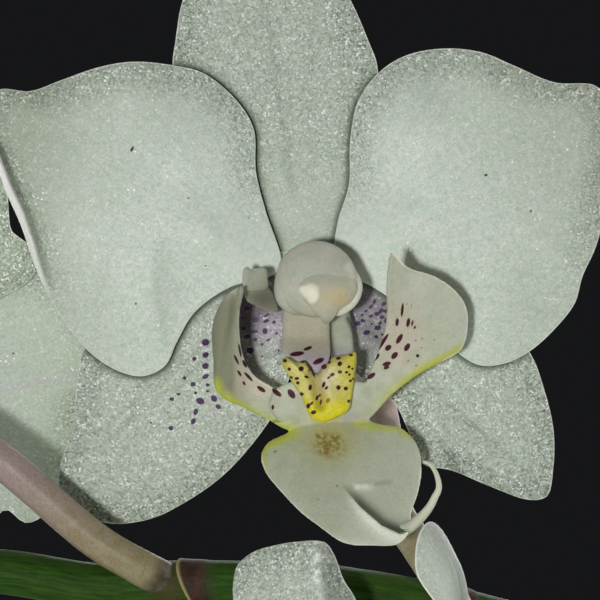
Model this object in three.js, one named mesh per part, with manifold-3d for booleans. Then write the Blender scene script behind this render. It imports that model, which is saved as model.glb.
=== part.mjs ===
// Potted miniature moth orchid: a ceramic pot, bark, stem, leaves, roots and a flower spike
// with four open blooms and three buds.
// Millimetres, +Z up. The origin is the centre of the pot's underside, and the main bloom faces -Y.
import * as THREE from 'three';
import { mergeVertices } from 'three/addons/utils/BufferGeometryUtils.js';
import Module from 'manifold-3d';

const wasm = await Module();
wasm.setup();

// Driving sizes
const CLEARANCE = 0.3; // left between two pieces that touch on the plant

const POT = {
  height: 66,
  footRadius: 24,
  rimRadius: 35.5,
  bandHeight: 9,
  bandStep: 1,
  wall: 3.2,
  floor: 4,
  edge: 1,
  sides: 36,
};

const MEDIUM = {
  top: 57,
  chunkRise: 3.6,
  chunkSlope: 0.4,
  chunkGap: 1.4,
  chunks: 70,
  seed: 11,
  sides: 36,
  rings: 8,
  firstRing: 0.25, // share of a ring's width between the edge and the first ring
};

const STEM = {
  radius: 5,
  bottom: 46,
  fullAt: 50,
  shoulder: 79,
  crown: 82,
  top: 83,
  footShare: 0.8, // radius at the bottom and at the crown, as shares of the full radius
  crownShare: 0.5,
  sides: 12,
};

// Each leaf: its direction, where it leaves the stem, its length and width, its slope at the base
// and how far it bends down by the tip.
const LEAVES = [
  { azimuth: -34, base: 64.5, length: 96, width: 37, rise: 32, bend: 62 },
  { azimuth: 172, base: 67.5, length: 104, width: 39, rise: 36, bend: 66 },
  { azimuth: 52, base: 70.5, length: 88, width: 36, rise: 46, bend: 62 },
  { azimuth: 212, base: 73.5, length: 80, width: 34, rise: 50, bend: 58 },
  { azimuth: 122, base: 76.5, length: 56, width: 27, rise: 64, bend: 40 },
];
const LEAF = {
  thickness: 2.2,
  edgeThinning: 0.5, // share of the thickness lost at the edge
  foldLift: 0.24,
  foldFade: 0.5, // share of the fold lost by the tip
  bendPower: 1.3,
  baseShare: 0.2, // width where it leaves the stem, as a share of the full width
  widest: 0.56,
  tipPower: 2.6,
  tipLeast: 0.03,
  rows: 12,
};
const LEAF_COLUMNS = [-1, -0.55, 0, 0.55, 1]; // shares of the half width

// Roots leave the stem, run over the bark and dive into it; one hangs over the pot's rim.
const ROOT = { radius: 2.1, tipRadius: 1.5, sides: 7, steps: 14 };
const ROOT_ROUTES = [
  [[0, 0, 61], [9, 1, 62.5], [18, 2, 61], [23, 2, 54], [24, 1, 45]],
  [[0, 0, 62], [-3, 10, 63], [-7, 17, 61.5], [-9, 21, 54], [-9.5, 22, 44]],
  [[0, 0, 61.5], [-10, -5, 63], [-17, -11, 60], [-19, -13, 50]],
  [
    [0, 0, 62.5], [-1, -12, 64], [-5, -28, 68], [-7, -36, 68.2], [-8, -41, 60], [-7, -42, 47],
    [-4, -41.5, 38],
  ],
];

// The spike climbs on the right, arches over and runs to the left behind and under the blooms.
const SPIKE = { baseRadius: 2.3, radius: 1.8, tipRadius: 1.1, sides: 8, steps: 42, samples: 400 };
const SPIKE_ROUTE = [
  [4.6, -2.2, 74], [9, -4, 78], [15, -4, 85], [24, -1, 100], [31, 1, 119], [28, 0, 137], [17, -1, 148],
  [-1.3, -3, 154.2], [-14.7, -4, 155.6], [-25.8, -4, 155.4], [-33.7, -4.5, 156.6],
  [-46, -7, 157], [-57, -9, 153.5], [-65, -10, 148.2], [-67, -10.2, 146],
];

// Open blooms: the centre of each, where it faces (0 is the front, positive turns to the right),
// how far it looks up, how far it is rolled, its size, and the route of its pedicel from the spike.
const BLOOMS = [
  {
    centre: [-9.4, 0, 180.4], heading: 0, tilt: 0, roll: 0, size: 1,
    pedicel: [
      [0.6, -2.8, 153.7], [-0.5, 1, 156.6], [-1.5, 4, 161], [-3.1, 6, 168.1], [-5.2, 6.8, 175],
      [-7.8, 6.2, 179.4],
    ],
  },
  {
    centre: [-47, 1, 170.8], heading: 205, tilt: 0, roll: 24, size: 0.92,
    pedicel: [
      [-20.2, -4, 155.5], [-22.4, -5.3, 156.9], [-25.9, -5.6, 159], [-33.6, -5.6, 165.4],
      [-39, -6.2, 169.2], [-43.6, -5.6, 170.6],
    ],
  },
  {
    centre: [-14.6, -11, 133.2], heading: -35, tilt: 0, roll: -20, size: 0.97,
    pedicel: [[-8, -3.6, 155.1], [-7.2, 0, 150], [-7.2, 2, 142], [-9.4, 0, 135.4]],
  },
  {
    centre: [11.3, -33.2, 137.4], heading: 79, tilt: 20, roll: 0, size: 1,
    pedicel: [[8, -2.2, 151.5], [6.5, -8, 150], [5.4, -16, 148], [4.8, -24, 144.6], [4.6, -29.6, 139.8]],
  },
];
const PEDICEL = { radius: 1.42, neckRadius: 1.2, neckShare: 0.3, straight: 2.6, sides: 8, steps: 12 };

// Buds: where the pedicel leaves the spike, where the bud starts and where its tip is, and its width.
const BUDS = [
  { foot: [-54, -8.4, 155], start: [-60, -13, 160], tip: [-66, -17, 166], width: 7.2 },
  { foot: [-60.5, -9.4, 151.4], start: [-67, -11, 152.6], tip: [-73.6, -12.6, 155.6], width: 5.8 },
  { foot: [-64.6, -10, 148.4], start: [-68.4, -13, 147.6], tip: [-72.8, -16, 148], width: 4.4 },
];
const BUD = {
  sides: 9,
  rings: 6,
  seams: 3,
  seamDepth: 0.07,
  girthPower: 0.85, // below 1, the bud is fullest above its middle
  endPower: 0.7, // below 1, its ends are blunt
  stalkRadius: 1.1,
  stalkSag: 0.6,
  stalkReach: 0.25, // how far the stalk runs into the bud, as a share of the bud's length
  stalkSides: 6,
  stalkSteps: 6,
};

// Bracts: short sleeves that clasp the spike, one under each pedicel and two on the bare lower stalk.
const BRACT = {
  length: 3.2,
  lowerLength: 8,
  setback: 0.5,
  lift: 0.15,
  flare: 0.5,
  lean: 0.4,
  sides: 8,
  steps: 3,
};
const LOWER_BRACTS = [
  { at: 0.17, side: [0, -1, 0.4] },
  { at: 0.34, side: [1, 0.2, 0.2] },
];

// Bloom sizes, in the bloom's own frame: x to the viewer's right, y up, z towards the viewer
const BLOOM_REACH = 26; // from the column to the furthest petal edge
const TEPAL_THICKNESS = 0.7;
const PETAL_LAYER = 0.4; // height of the petals' claws over the column's base
const PETAL_BULGE = 1.9;
const PETAL_RIPPLE = 0.45;
const SEPAL_LAYER = -0.8;
const SEPAL_CURL = 1.8; // how far the sepals' tips bend back
const RIPPLES = 7;
const COLUMN_BASE = -1.7;

const OUTLINES = {
  dorsal_sepal: {
    middle: [-2.5, 15],
    points: [
      [0, 2.05], [-2.7, 2.5], [-4.8, 5], [-7.4, 8.6], [-9.5, 12.7], [-10.8, 16.1], [-10.6, 18.5],
      [-10, 21.8], [-8.5, 24.6], [-6.1, 26.6], [-3.7, 27.4], [-1, 26.6], [1.4, 24.7], [3.4, 21.8],
      [4.9, 18.4], [5.6, 16.4], [5.6, 12.9], [4.9, 8.9], [3.9, 5], [2.5, 2.5],
    ],
  },
  lateral_sepal_left: {
    middle: [-9.5, -9.5],
    points: [
      [-1.5, -1.5], [-3.7, 0.2], [-7.5, 0.2], [-11.9, -2], [-15.9, -4], [-18, -6.4], [-18.6, -9.6],
      [-18.9, -12.9], [-19.8, -15.4], [-20, -17.5], [-18.4, -19.5], [-15.9, -20.4], [-12.6, -20],
      [-9.9, -18.7], [-6.9, -16.6], [-4.3, -13.8], [-2.7, -10.5], [-1.4, -6.4], [-0.5, -3.2],
    ],
  },
  lateral_sepal_right: {
    middle: [11, -8.5],
    points: [
      [1.5, -1.5], [3.7, 0.2], [8.2, 0.2], [12.6, -2.2], [16.1, -4.8], [17.9, -6.7], [19, -9.5],
      [19.8, -12.9], [19.8, -15.8], [19.3, -18.2], [17.9, -18.5], [14.7, -17.4], [11.6, -16.1],
      [9.2, -15.5], [8, -12.7], [6.9, -10.6], [4.2, -8.6], [1.9, -6], [0.6, -3.2],
    ],
  },
  petal_left: {
    middle: [-13.5, 5],
    points: [
      [-2.1, 0.7], [-3.3, 4.6], [-4.1, 7.8], [-4.3, 11.3], [-5.7, 13.6], [-8.4, 15.8], [-11, 16.4],
      [-13.9, 16.6], [-16.6, 16.2], [-19.6, 15.2], [-22.2, 14.3], [-24.7, 14.4], [-25.8, 12.9],
      [-25, 10.3], [-23.9, 6.7], [-22.5, 3.5], [-21.5, 0.3], [-20.4, -2.4], [-19, -4.8], [-17.2, -6.8],
      [-15.1, -8.1], [-13.2, -8.5], [-11.4, -7.7], [-10.4, -5.7], [-9, -3.4], [-6.2, -1.4], [-2.6, -0.3],
    ],
  },
  petal_right: {
    middle: [13, 6],
    points: [
      [2.1, 0.7], [2.4, 3.8], [3.3, 6.8], [3.4, 10.3], [4, 13.4], [5.6, 15.7], [7.7, 17.1],
      [10.5, 17.7], [13.7, 17.4], [16.5, 16.3], [19.7, 15], [23.1, 14.7], [24.3, 12.9], [24.4, 9.6],
      [23.9, 5.6], [23, 1.9], [21.9, -0.6], [21.4, -2.6], [20.1, -4.4], [17.8, -6.5], [15.7, -7.5],
      [13.7, -7.6], [11.7, -6.4], [8.9, -4], [4.9, -1.2], [2.6, -0.3],
    ],
  },
};

// The column's rings: height over the tepals, centre x and y, half width and half height.
const COLUMN_RINGS = [
  [COLUMN_BASE, 0, 0, 1.7, 1.7],
  [0.6, 0, 0, 1.7, 1.7],
  [2.6, 0.1, -0.1, 2, 1.9],
  [4.6, 0.3, -0.4, 2.7, 2.4],
  [6.2, 0.5, -0.7, 3.4, 3],
  [7.4, 0.6, -0.8, 3.3, 2.9],
  [8.3, 0.7, -0.9, 2.3, 2],
];
const COLUMN_FACE = [8.6, 0.7, -1];
const COLUMN_SIDES = 12;
const FOOT_SHAPE = { thickness: 1.5, height: 1.8, slope: 0.3 }; // it rises towards the lip
const COLUMN_FOOT = {
  middle: [0, -4.4],
  points: [
    [-1.5, -0.4], [-1.9, -2.4], [-2, -4.8], [-2, -6.6], [-0.6, -7.5], [0.7, -8.3], [1.7, -7.1],
    [1.8, -5], [1.6, -2.4], [1.4, -0.4],
  ],
};

const LIP_LOBE_LEFT = {
  middle: [-6.1, -7.4],
  points: [
    [-5, -1.3], [-6.1, -1.8], [-7, -3], [-7.5, -4.7], [-7.4, -7.1], [-7.3, -9.3], [-6.4, -10.3],
    [-5.1, -10.9], [-3.1, -11.9], [-1.2, -12.7], [-0.7, -11.6], [-2.3, -9.6], [-4.2, -8.3], [-5, -6.9],
    [-5.3, -5.1], [-5.3, -3.3],
  ],
};
const LIP_LOBE_RIGHT = {
  middle: [8.5, -5.2],
  points: [
    [6.5, 1.4], [7.7, 0.2], [9.8, -0.5], [11.4, -1.5], [12.4, -2.8], [12.6, -4.6], [12.1, -6.3],
    [10.7, -7.2], [8.8, -8.2], [6.8, -9.7], [4.4, -12], [4.1, -10.9], [4.6, -8.7], [5.5, -6.4],
    [6.1, -4], [6.1, -0.8],
  ],
};
const LIP_MIDLOBE = {
  middle: [2.6, -15.2],
  points: [
    [-1.2, -12.5], [-3.2, -13.7], [-3.7, -14.7], [-3.3, -16], [-2.1, -17.4], [-0.6, -18.9], [0.9, -20],
    [2.8, -21.2], [4.9, -21.4], [7, -21.3], [8, -20.2], [8.1, -19.1], [8.7, -17.4], [9, -15.6],
    [8.7, -13.9], [7.4, -12.5], [5.4, -12.1], [3.9, -11.3], [2.6, -9.9], [0.8, -9.4], [-0.5, -10.3],
    [-1.2, -11.4],
  ],
};
const LIP_HUB = {
  middle: [1.7, -11.1],
  points: [
    [-3, -10.8], [-2.4, -9.3], [-0.6, -8.7], [0.8, -8.9], [2.8, -8.7], [4.7, -9], [5.4, -10.6],
    [4.2, -12.5], [1.6, -13.2], [-1, -12.9],
  ],
};
const CALLUS = {
  middle: [1.2, -9.4],
  points: [
    [-1.9, -7.1], [-0.5, -7.7], [0.6, -8], [2, -7.5], [3.6, -6.7], [3.7, -8.3], [3.3, -10.2],
    [2.4, -11.5], [0.9, -12], [0, -11.2], [-0.6, -10.1], [-1.3, -8.7],
  ],
};
const LIP_LAYER = 4.4; // height of the lip's middle over the tepals
const LIP_THICKNESS = 0.9;
const LOBE_RINGS = [0.6, 1];
const HUB_HEIGHT = LIP_LAYER - 0.1;
const HUB_THICKNESS = 1.5;
const CALLUS_HEIGHT = 2.3;

// The side lobes slope up from a level line and bend back past an edge line; the middle lobe
// comes forward from its hinge line and is hollow along its middle line.
const LEFT_LOBE_SHAPE = { slope: 0.42, level: -12.6, edge: -5.8, bend: 0.3 };
const RIGHT_LOBE_SHAPE = { slope: 0.42, level: -12.2, edge: 6.5, bend: 0.085 };
const MIDLOBE_SHAPE = { slope: 0.6, hinge: -11.6, middle: 2.6, hollow: 0.04 };
const LIP_THREAD = { radius: 0.36, sides: 6, steps: 10 };
const LIP_THREAD_ROUTE = [
  [7.4, -20.4, 9.4], [8.6, -19.3, 10.6], [9.7, -17.8, 11], [10.1, -16.8, 11], [9.9, -15.9, 10.8],
  [8.9, -15, 10.6],
];

const MAIN_DETAIL = { petalSides: 26, sepalSides: 20, smallSides: 16, rings: [0.45, 0.8, 1] };
const BLOOM_DETAIL = { petalSides: 20, sepalSides: 15, smallSides: 12, rings: [0.62, 1] };

// Finishes
const finish = (color, roughness) => () => new THREE.MeshStandardMaterial({ color, roughness, metalness: 0 });
const glaze = finish(0xe9e6df, 0.25);
const bark = finish(0x5a3d28, 0.95);
const leafGreen = finish(0x3f6b2f, 0.45);
const rootSilver = finish(0x9aa38b, 0.8);
const spikeGreen = finish(0x4a6428, 0.5);
const pedicelBlush = finish(0xb0a08c, 0.55);
const tepalWhite = finish(0xd9dccf, 0.6);
const columnWhite = finish(0xd6cfba, 0.45);
const lipWhite = finish(0xcfcfb4, 0.5);
const callusYellow = finish(0xc9b62c, 0.4);
const budGreen = finish(0xb9c3a0, 0.5);

// Geometry helpers

function vector(list) {
  return new THREE.Vector3(...list);
}

function radians(degrees) {
  return THREE.MathUtils.degToRad(degrees);
}

function smoothstep(value, low, high) {
  return THREE.MathUtils.smoothstep(value, low, high);
}

// A repeatable stream of numbers from 0 to 1, by the linear congruential rule.
const RANDOM = { factor: 1664525, step: 1013904223, range: 2 ** 32 };

function randomStream(seed) {
  let state = seed;
  return () => {
    state = (state * RANDOM.factor + RANDOM.step) % RANDOM.range;
    return state / RANDOM.range;
  };
}

function geometryFrom(points, index) {
  const geometry = new THREE.BufferGeometry().setFromPoints(points);
  geometry.setIndex(index);
  return geometry;
}

function solid(geometry) {
  const bare = geometry.clone();
  bare.deleteAttribute('normal');
  bare.deleteAttribute('uv');
  const merged = mergeVertices(bare, 1e-4);
  const mesh = new wasm.Mesh({
    numProp: 3,
    vertProperties: merged.attributes.position.array,
    triVerts: Uint32Array.from(merged.index.array),
  });
  return new wasm.Manifold(mesh);
}

// The largest body of a solid, as a geometry: what a cut leaves loose is dropped.
function geometryOf(manifold) {
  const bodies = manifold.decompose();
  const largest = bodies.reduce((best, body) => (body.volume() > best.volume() ? body : best));
  const { vertProperties, triVerts } = largest.getMesh();
  const geometry = new THREE.BufferGeometry();
  geometry.setAttribute('position', new THREE.BufferAttribute(Float32Array.from(vertProperties), 3));
  geometry.setIndex(Array.from(triVerts));
  return geometry;
}

// Turns a closed geometry's faces outward: its volume, summed over its triangles, is positive then.
function facingOut(geometry) {
  const position = geometry.getAttribute('position');
  const index = geometry.getIndex().array;
  const [a, b, c] = [new THREE.Vector3(), new THREE.Vector3(), new THREE.Vector3()];
  let volume = 0;
  for (let i = 0; i < index.length; i += 3) {
    a.fromBufferAttribute(position, index[i]);
    b.fromBufferAttribute(position, index[i + 1]);
    c.fromBufferAttribute(position, index[i + 2]);
    volume += a.dot(b.cross(c));
  }
  if (volume > 0) return geometry;
  const turned = [];
  for (let i = 0; i < index.length; i += 3) turned.push(index[i], index[i + 2], index[i + 1]);
  geometry.setIndex(turned);
  return geometry;
}

// A closed surface through rings that all have the same number of points, with a pole at each end.
function skin(startPole, rings, endPole) {
  const count = rings[0].length;
  const points = [startPole, ...rings.flat(), endPole];
  const last = points.length - 1;
  const at = (ring, side) => 1 + ring * count + (side % count);
  const index = [];
  for (let side = 0; side < count; side += 1) {
    index.push(0, at(0, side + 1), at(0, side));
    index.push(last, at(rings.length - 1, side), at(rings.length - 1, side + 1));
    for (let ring = 0; ring + 1 < rings.length; ring += 1) {
      index.push(at(ring, side), at(ring, side + 1), at(ring + 1, side + 1));
      index.push(at(ring, side), at(ring + 1, side + 1), at(ring + 1, side));
    }
  }
  return facingOut(geometryFrom(points, index));
}

// A thin closed sheet: two faces of the same triangles and a rim strip that joins them.
function sheet(front, back, faces, rim) {
  const shift = front.length;
  const index = [];
  for (const [a, b, c] of faces) index.push(a, b, c, a + shift, c + shift, b + shift);
  rim.forEach((a, place) => {
    const b = rim[(place + 1) % rim.length];
    index.push(b, a, a + shift, b, a + shift, b + shift);
  });
  return facingOut(geometryFrom([...front, ...back], index));
}

// A blade: rings of its outline shrunk towards a middle point, lifted by a height formula.
function blade({ middle, points }, heightAt, { thickness, sides, rings }) {
  const corners = points.map(([x, y]) => new THREE.Vector3(x, y, 0));
  const curve = new THREE.CatmullRomCurve3(corners, true, 'centripetal');
  const centre = new THREE.Vector2(...middle);
  const plan = [centre];
  for (const share of rings) {
    for (let side = 0; side < sides; side += 1) {
      const rim = curve.getPoint(side / sides);
      plan.push(new THREE.Vector2(rim.x, rim.y).sub(centre).multiplyScalar(share).add(centre));
    }
  }
  const at = (ring, side) => 1 + ring * sides + (side % sides);
  const faces = [];
  for (let side = 0; side < sides; side += 1) {
    faces.push([0, at(0, side), at(0, side + 1)]);
    for (let ring = 0; ring + 1 < rings.length; ring += 1) {
      faces.push([at(ring, side), at(ring + 1, side), at(ring + 1, side + 1)]);
      faces.push([at(ring, side), at(ring + 1, side + 1), at(ring, side + 1)]);
    }
  }
  const rim = Array.from({ length: sides }, (_, side) => at(rings.length - 1, side));
  const lifted = (offset) => plan.map(({ x, y }) => new THREE.Vector3(x, y, heightAt(x, y) + offset));
  return sheet(lifted(thickness / 2), lifted(-thickness / 2), faces, rim);
}

// A stem along a smooth route: an oval section whose half width and half depth follow radiusAt.
function stem(route, radiusAt, sides, steps) {
  const curve = new THREE.CatmullRomCurve3(route.map(vector), false, 'centripetal');
  const frames = curve.computeFrenetFrames(steps, false);
  const rings = [];
  for (let step = 0; step <= steps; step += 1) {
    const middle = curve.getPointAt(step / steps);
    const [across, deep] = radiusAt(step / steps);
    const ring = [];
    for (let side = 0; side < sides; side += 1) {
      const angle = (2 * Math.PI * side) / sides;
      ring.push(
        middle
          .clone()
          .addScaledVector(frames.normals[step], across * Math.cos(angle))
          .addScaledVector(frames.binormals[step], deep * Math.sin(angle)),
      );
    }
    rings.push(ring);
  }
  return skin(curve.getPointAt(0), rings, curve.getPointAt(1));
}

function round(radius) {
  return [radius, radius];
}

function named(name, geometry, material) {
  const mesh = new THREE.Mesh(geometry, material());
  mesh.name = name;
  return mesh;
}

// Pot: a turned cover pot with a raised band under the rim and a closed floor.
function potInnerRadius(height) {
  const slope = (POT.rimRadius - POT.bandStep - POT.footRadius) / (POT.height - POT.edge);
  return POT.footRadius + slope * height - POT.wall;
}

function pot() {
  const bandBottom = POT.height - POT.bandHeight;
  const profile = [
    [0, 0],
    [POT.footRadius - POT.edge, 0],
    [POT.footRadius, POT.edge],
    [potInnerRadius(bandBottom) + POT.wall, bandBottom],
    [potInnerRadius(bandBottom) + POT.wall + POT.bandStep, bandBottom + POT.edge],
    [POT.rimRadius, POT.height - POT.edge],
    [POT.rimRadius - POT.edge, POT.height],
    [potInnerRadius(POT.height) + POT.edge, POT.height],
    [potInnerRadius(POT.height), POT.height - POT.edge],
    [potInnerRadius(POT.floor + POT.edge), POT.floor + POT.edge],
    [potInnerRadius(POT.floor) - POT.edge, POT.floor],
    [0, POT.floor],
  ].map(([radius, height]) => new THREE.Vector2(radius, height));
  const geometry = new THREE.LatheGeometry(profile, POT.sides);
  geometry.rotateX(Math.PI / 2);
  return named('pot', geometry, glaze);
}

// Stem: a short upright body with a pointed top; grown wider all round it also cuts its neighbours.
function stemBody(extra) {
  const ring = (radius, height) =>
    Array.from({ length: STEM.sides }, (_, side) => {
      const angle = (2 * Math.PI * side) / STEM.sides;
      const reach = radius + extra;
      return new THREE.Vector3(reach * Math.cos(angle), reach * Math.sin(angle), height);
    });
  const rings = [
    ring(STEM.radius * STEM.footShare, STEM.bottom - extra),
    ring(STEM.radius, STEM.fullAt),
    ring(STEM.radius, STEM.shoulder),
    ring(STEM.radius * STEM.crownShare, STEM.crown + extra),
  ];
  return skin(new THREE.Vector3(0, 0, STEM.bottom - extra), rings, new THREE.Vector3(0, 0, STEM.top + extra));
}

// Roots: tapered, from the stem's side; grown wider and longer by extra, one cuts its hole.
function rootGeometry(route, extra) {
  const [before, tip] = route.slice(-2).map(vector);
  const direction = tip.clone().sub(before).normalize();
  const end = tip.addScaledVector(direction, extra);
  const radiusAt = (share) => round(THREE.MathUtils.lerp(ROOT.radius, ROOT.tipRadius, share ** 2) + extra);
  return stem([...route.slice(0, -1), end.toArray()], radiusAt, ROOT.sides, ROOT.steps);
}

function roots() {
  const cutter = solid(stemBody(CLEARANCE));
  return ROOT_ROUTES.map((route, place) => {
    const cut = solid(rootGeometry(route, 0)).subtract(cutter);
    return named(`aerial_root_${place + 1}`, geometryOf(cut), rootSilver);
  });
}

// Potting medium: chunks of bark as cells of a top surface, each at its own height and slope,
// with a plain hole for the stem and for each root.
function chunkHeights() {
  const random = randomStream(MEDIUM.seed);
  const chunks = Array.from({ length: MEDIUM.chunks }, () => {
    const radius = potInnerRadius(MEDIUM.top) * Math.sqrt(random());
    const angle = 2 * Math.PI * random();
    return {
      x: radius * Math.cos(angle),
      y: radius * Math.sin(angle),
      rise: MEDIUM.chunkRise * random(),
      slopeX: MEDIUM.chunkSlope * (random() - 0.5),
      slopeY: MEDIUM.chunkSlope * (random() - 0.5),
    };
  });
  return (x, y) => {
    const byDistance = chunks
      .map((chunk) => ({ chunk, distance: Math.hypot(x - chunk.x, y - chunk.y) }))
      .sort((a, b) => a.distance - b.distance);
    const [{ chunk, distance }, next] = byDistance;
    const crown = smoothstep(next.distance - distance, 0, MEDIUM.chunkGap);
    const slope = chunk.slopeX * (x - chunk.x) + chunk.slopeY * (y - chunk.y);
    return MEDIUM.top - MEDIUM.chunkRise / 2 + crown * (chunk.rise + slope);
  };
}

function medium() {
  const heightAt = chunkHeights();
  const bottom = POT.floor + CLEARANCE;
  const outer = (height) => potInnerRadius(height) - CLEARANCE;
  const circle = (radius, height) =>
    Array.from({ length: MEDIUM.sides }, (_, side) => {
      const angle = (2 * Math.PI * side) / MEDIUM.sides;
      const [x, y] = [radius * Math.cos(angle), radius * Math.sin(angle)];
      return new THREE.Vector3(x, y, height ?? heightAt(x, y));
    });
  const edge = outer(MEDIUM.top - MEDIUM.chunkRise) - CLEARANCE;
  const rings = [
    circle(outer(bottom) - POT.edge - CLEARANCE, bottom),
    circle(outer(bottom + POT.edge) - CLEARANCE, bottom + POT.edge),
    circle(edge, MEDIUM.top - MEDIUM.chunkRise),
  ];
  for (let ring = 0; ring < MEDIUM.rings; ring += 1) {
    rings.push(circle(edge * (1 - (ring + MEDIUM.firstRing) / (MEDIUM.rings + MEDIUM.firstRing)), null));
  }
  const block = skin(new THREE.Vector3(0, 0, bottom), rings, new THREE.Vector3(0, 0, MEDIUM.top));
  let left = solid(block).subtract(solid(stemBody(CLEARANCE)));
  for (const route of ROOT_ROUTES) left = left.subtract(solid(rootGeometry(route, CLEARANCE)));
  return named('potting_medium', geometryOf(left), bark);
}

// Leaf: a fleshy strap that rises from the stem and bends over, folded along its midrib.
function leafGeometry({ length, width, rise, bend }) {
  const front = [];
  const back = [];
  let x = 0;
  let z = 0;
  for (let row = 0; row <= LEAF.rows; row += 1) {
    const share = row / LEAF.rows;
    const pitch = radians(rise - (rise + bend) * share ** LEAF.bendPower);
    const widening = LEAF.baseShare + (1 - LEAF.baseShare) * smoothstep(share, 0, LEAF.widest);
    const past = Math.max(0, (share - LEAF.widest) / (1 - LEAF.widest));
    const half = (width / 2) * widening * Math.sqrt(Math.max(LEAF.tipLeast, 1 - past ** LEAF.tipPower));
    for (const column of LEAF_COLUMNS) {
      const y = column * half;
      const lift = LEAF.foldLift * Math.abs(y) * (1 - LEAF.foldFade * share);
      const body = (LEAF.thickness / 2) * (1 - LEAF.edgeThinning * column ** 2);
      const normal = new THREE.Vector3(-Math.sin(pitch), 0, Math.cos(pitch));
      const middle = new THREE.Vector3(x, y, z).addScaledVector(normal, lift);
      front.push(middle.clone().addScaledVector(normal, body));
      back.push(middle.clone().addScaledVector(normal, -body));
    }
    x += (Math.cos(pitch) * length) / LEAF.rows;
    z += (Math.sin(pitch) * length) / LEAF.rows;
  }
  const columns = LEAF_COLUMNS.length;
  const at = (row, column) => row * columns + column;
  const faces = [];
  for (let row = 0; row < LEAF.rows; row += 1) {
    for (let column = 0; column + 1 < columns; column += 1) {
      faces.push([at(row, column), at(row + 1, column), at(row + 1, column + 1)]);
      faces.push([at(row, column), at(row + 1, column + 1), at(row, column + 1)]);
    }
  }
  const rim = [];
  for (let row = 0; row < LEAF.rows; row += 1) rim.push(at(row, 0));
  for (let column = 0; column + 1 < columns; column += 1) rim.push(at(LEAF.rows, column));
  for (let row = LEAF.rows; row > 0; row -= 1) rim.push(at(row, columns - 1));
  for (let column = columns - 1; column > 0; column -= 1) rim.push(at(0, column));
  return sheet(front, back, faces, rim);
}

function leaves() {
  return LEAVES.map((leaf, place) => {
    const cutter = solid(stemBody(CLEARANCE)).translate([0, 0, -leaf.base]);
    const cut = solid(leafGeometry(leaf)).subtract(cutter);
    const mesh = named(`leaf_${place + 1}`, geometryOf(cut), leafGreen);
    mesh.position.z = leaf.base;
    mesh.rotation.z = radians(leaf.azimuth);
    return mesh;
  });
}

// Flower spike: one tapered stem with its bracts grown on it.
const spikeCurve = new THREE.CatmullRomCurve3(SPIKE_ROUTE.map(vector), false, 'centripetal');

function spikeRadius(share) {
  const low = THREE.MathUtils.lerp(SPIKE.baseRadius, SPIKE.radius, smoothstep(share, 0, 0.5));
  return THREE.MathUtils.lerp(low, SPIKE.tipRadius, smoothstep(share, 0.75, 1));
}

function spikeStem(extra) {
  return solid(stem(SPIKE_ROUTE, (share) => round(spikeRadius(share) + extra), SPIKE.sides, SPIKE.steps));
}

const spikeLength = spikeCurve.getLength();

// The share of the spike's length that is nearest to a point.
function shareNear(point) {
  const tries = Array.from({ length: SPIKE.samples + 1 }, (_, place) => place / SPIKE.samples);
  const gap = (share) => spikeCurve.getPointAt(share).distanceTo(point);
  return tries.reduce((best, share) => (gap(share) < gap(best) ? share : best));
}

// A sleeve round the spike that ends at the share at, open a little more towards its side.
function bractSleeve({ at, side, length }, extra) {
  const tangent = spikeCurve.getTangentAt(at);
  const out = vector(side).projectOnPlane(tangent).normalize();
  const route = [0, 0.5, 1].map((share) => {
    const along = at - ((1 - share) * length - share * extra) / spikeLength;
    return spikeCurve.getPointAt(along).addScaledVector(out, BRACT.lean * share ** 2).toArray();
  });
  const radiusAt = (share) => round(spikeRadius(at) + BRACT.lift + BRACT.flare * share ** 2 + extra);
  return solid(stem(route, radiusAt, BRACT.sides, BRACT.steps));
}

// A bract ends just under the pedicel that it carries, on the pedicel's side.
function bractUnder([foot, next]) {
  const at = shareNear(vector(foot)) - BRACT.setback / spikeLength;
  return { at, side: vector(next).sub(vector(foot)).toArray(), length: BRACT.length };
}

const BRACTS = [
  ...LOWER_BRACTS.map((bract) => ({ ...bract, length: BRACT.lowerLength })),
  ...BLOOMS.map(({ pedicel }) => bractUnder(pedicel)),
  ...BUDS.map(({ foot, start }) => bractUnder([foot, start])),
];

// The spike and its bracts, grown wider all round by extra.
function spikeBody(extra) {
  return BRACTS.reduce((body, bract) => body.add(bractSleeve(bract, extra)), spikeStem(extra));
}

const spikeCutter = spikeBody(CLEARANCE);

function flowerSpike() {
  const body = spikeBody(0).subtract(solid(stemBody(CLEARANCE)));
  return named('flower_spike', geometryOf(body), spikeGreen);
}

// Height formulas of the bloom's blades, from the place x, y in the bloom's plane.
function petalHeight(x, y) {
  const reach = Math.hypot(x, y) / BLOOM_REACH;
  const ripple = PETAL_RIPPLE * reach ** 2 * Math.sin(RIPPLES * Math.atan2(y, x));
  return PETAL_LAYER + PETAL_BULGE * Math.sin(Math.PI * Math.min(1, reach)) + ripple;
}

function sepalHeight(x, y) {
  const reach = Math.hypot(x, y) / BLOOM_REACH;
  return SEPAL_LAYER - SEPAL_CURL * reach ** 2;
}

function leftLobeHeight(x, y) {
  const { slope, level, edge, bend } = LEFT_LOBE_SHAPE;
  return LIP_LAYER + slope * (y - level) - bend * Math.min(0, x - edge) ** 2;
}

function rightLobeHeight(x, y) {
  const { slope, level, edge, bend } = RIGHT_LOBE_SHAPE;
  return LIP_LAYER + slope * (y - level) - bend * Math.max(0, x - edge) ** 2;
}

function midlobeHeight(x, y) {
  const { slope, hinge, middle, hollow } = MIDLOBE_SHAPE;
  return LIP_LAYER + slope * Math.max(0, hinge - y) - hollow * (x - middle) ** 2;
}

function footHeight(x, y) {
  return FOOT_SHAPE.height + FOOT_SHAPE.slope * Math.max(0, -y);
}

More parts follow.
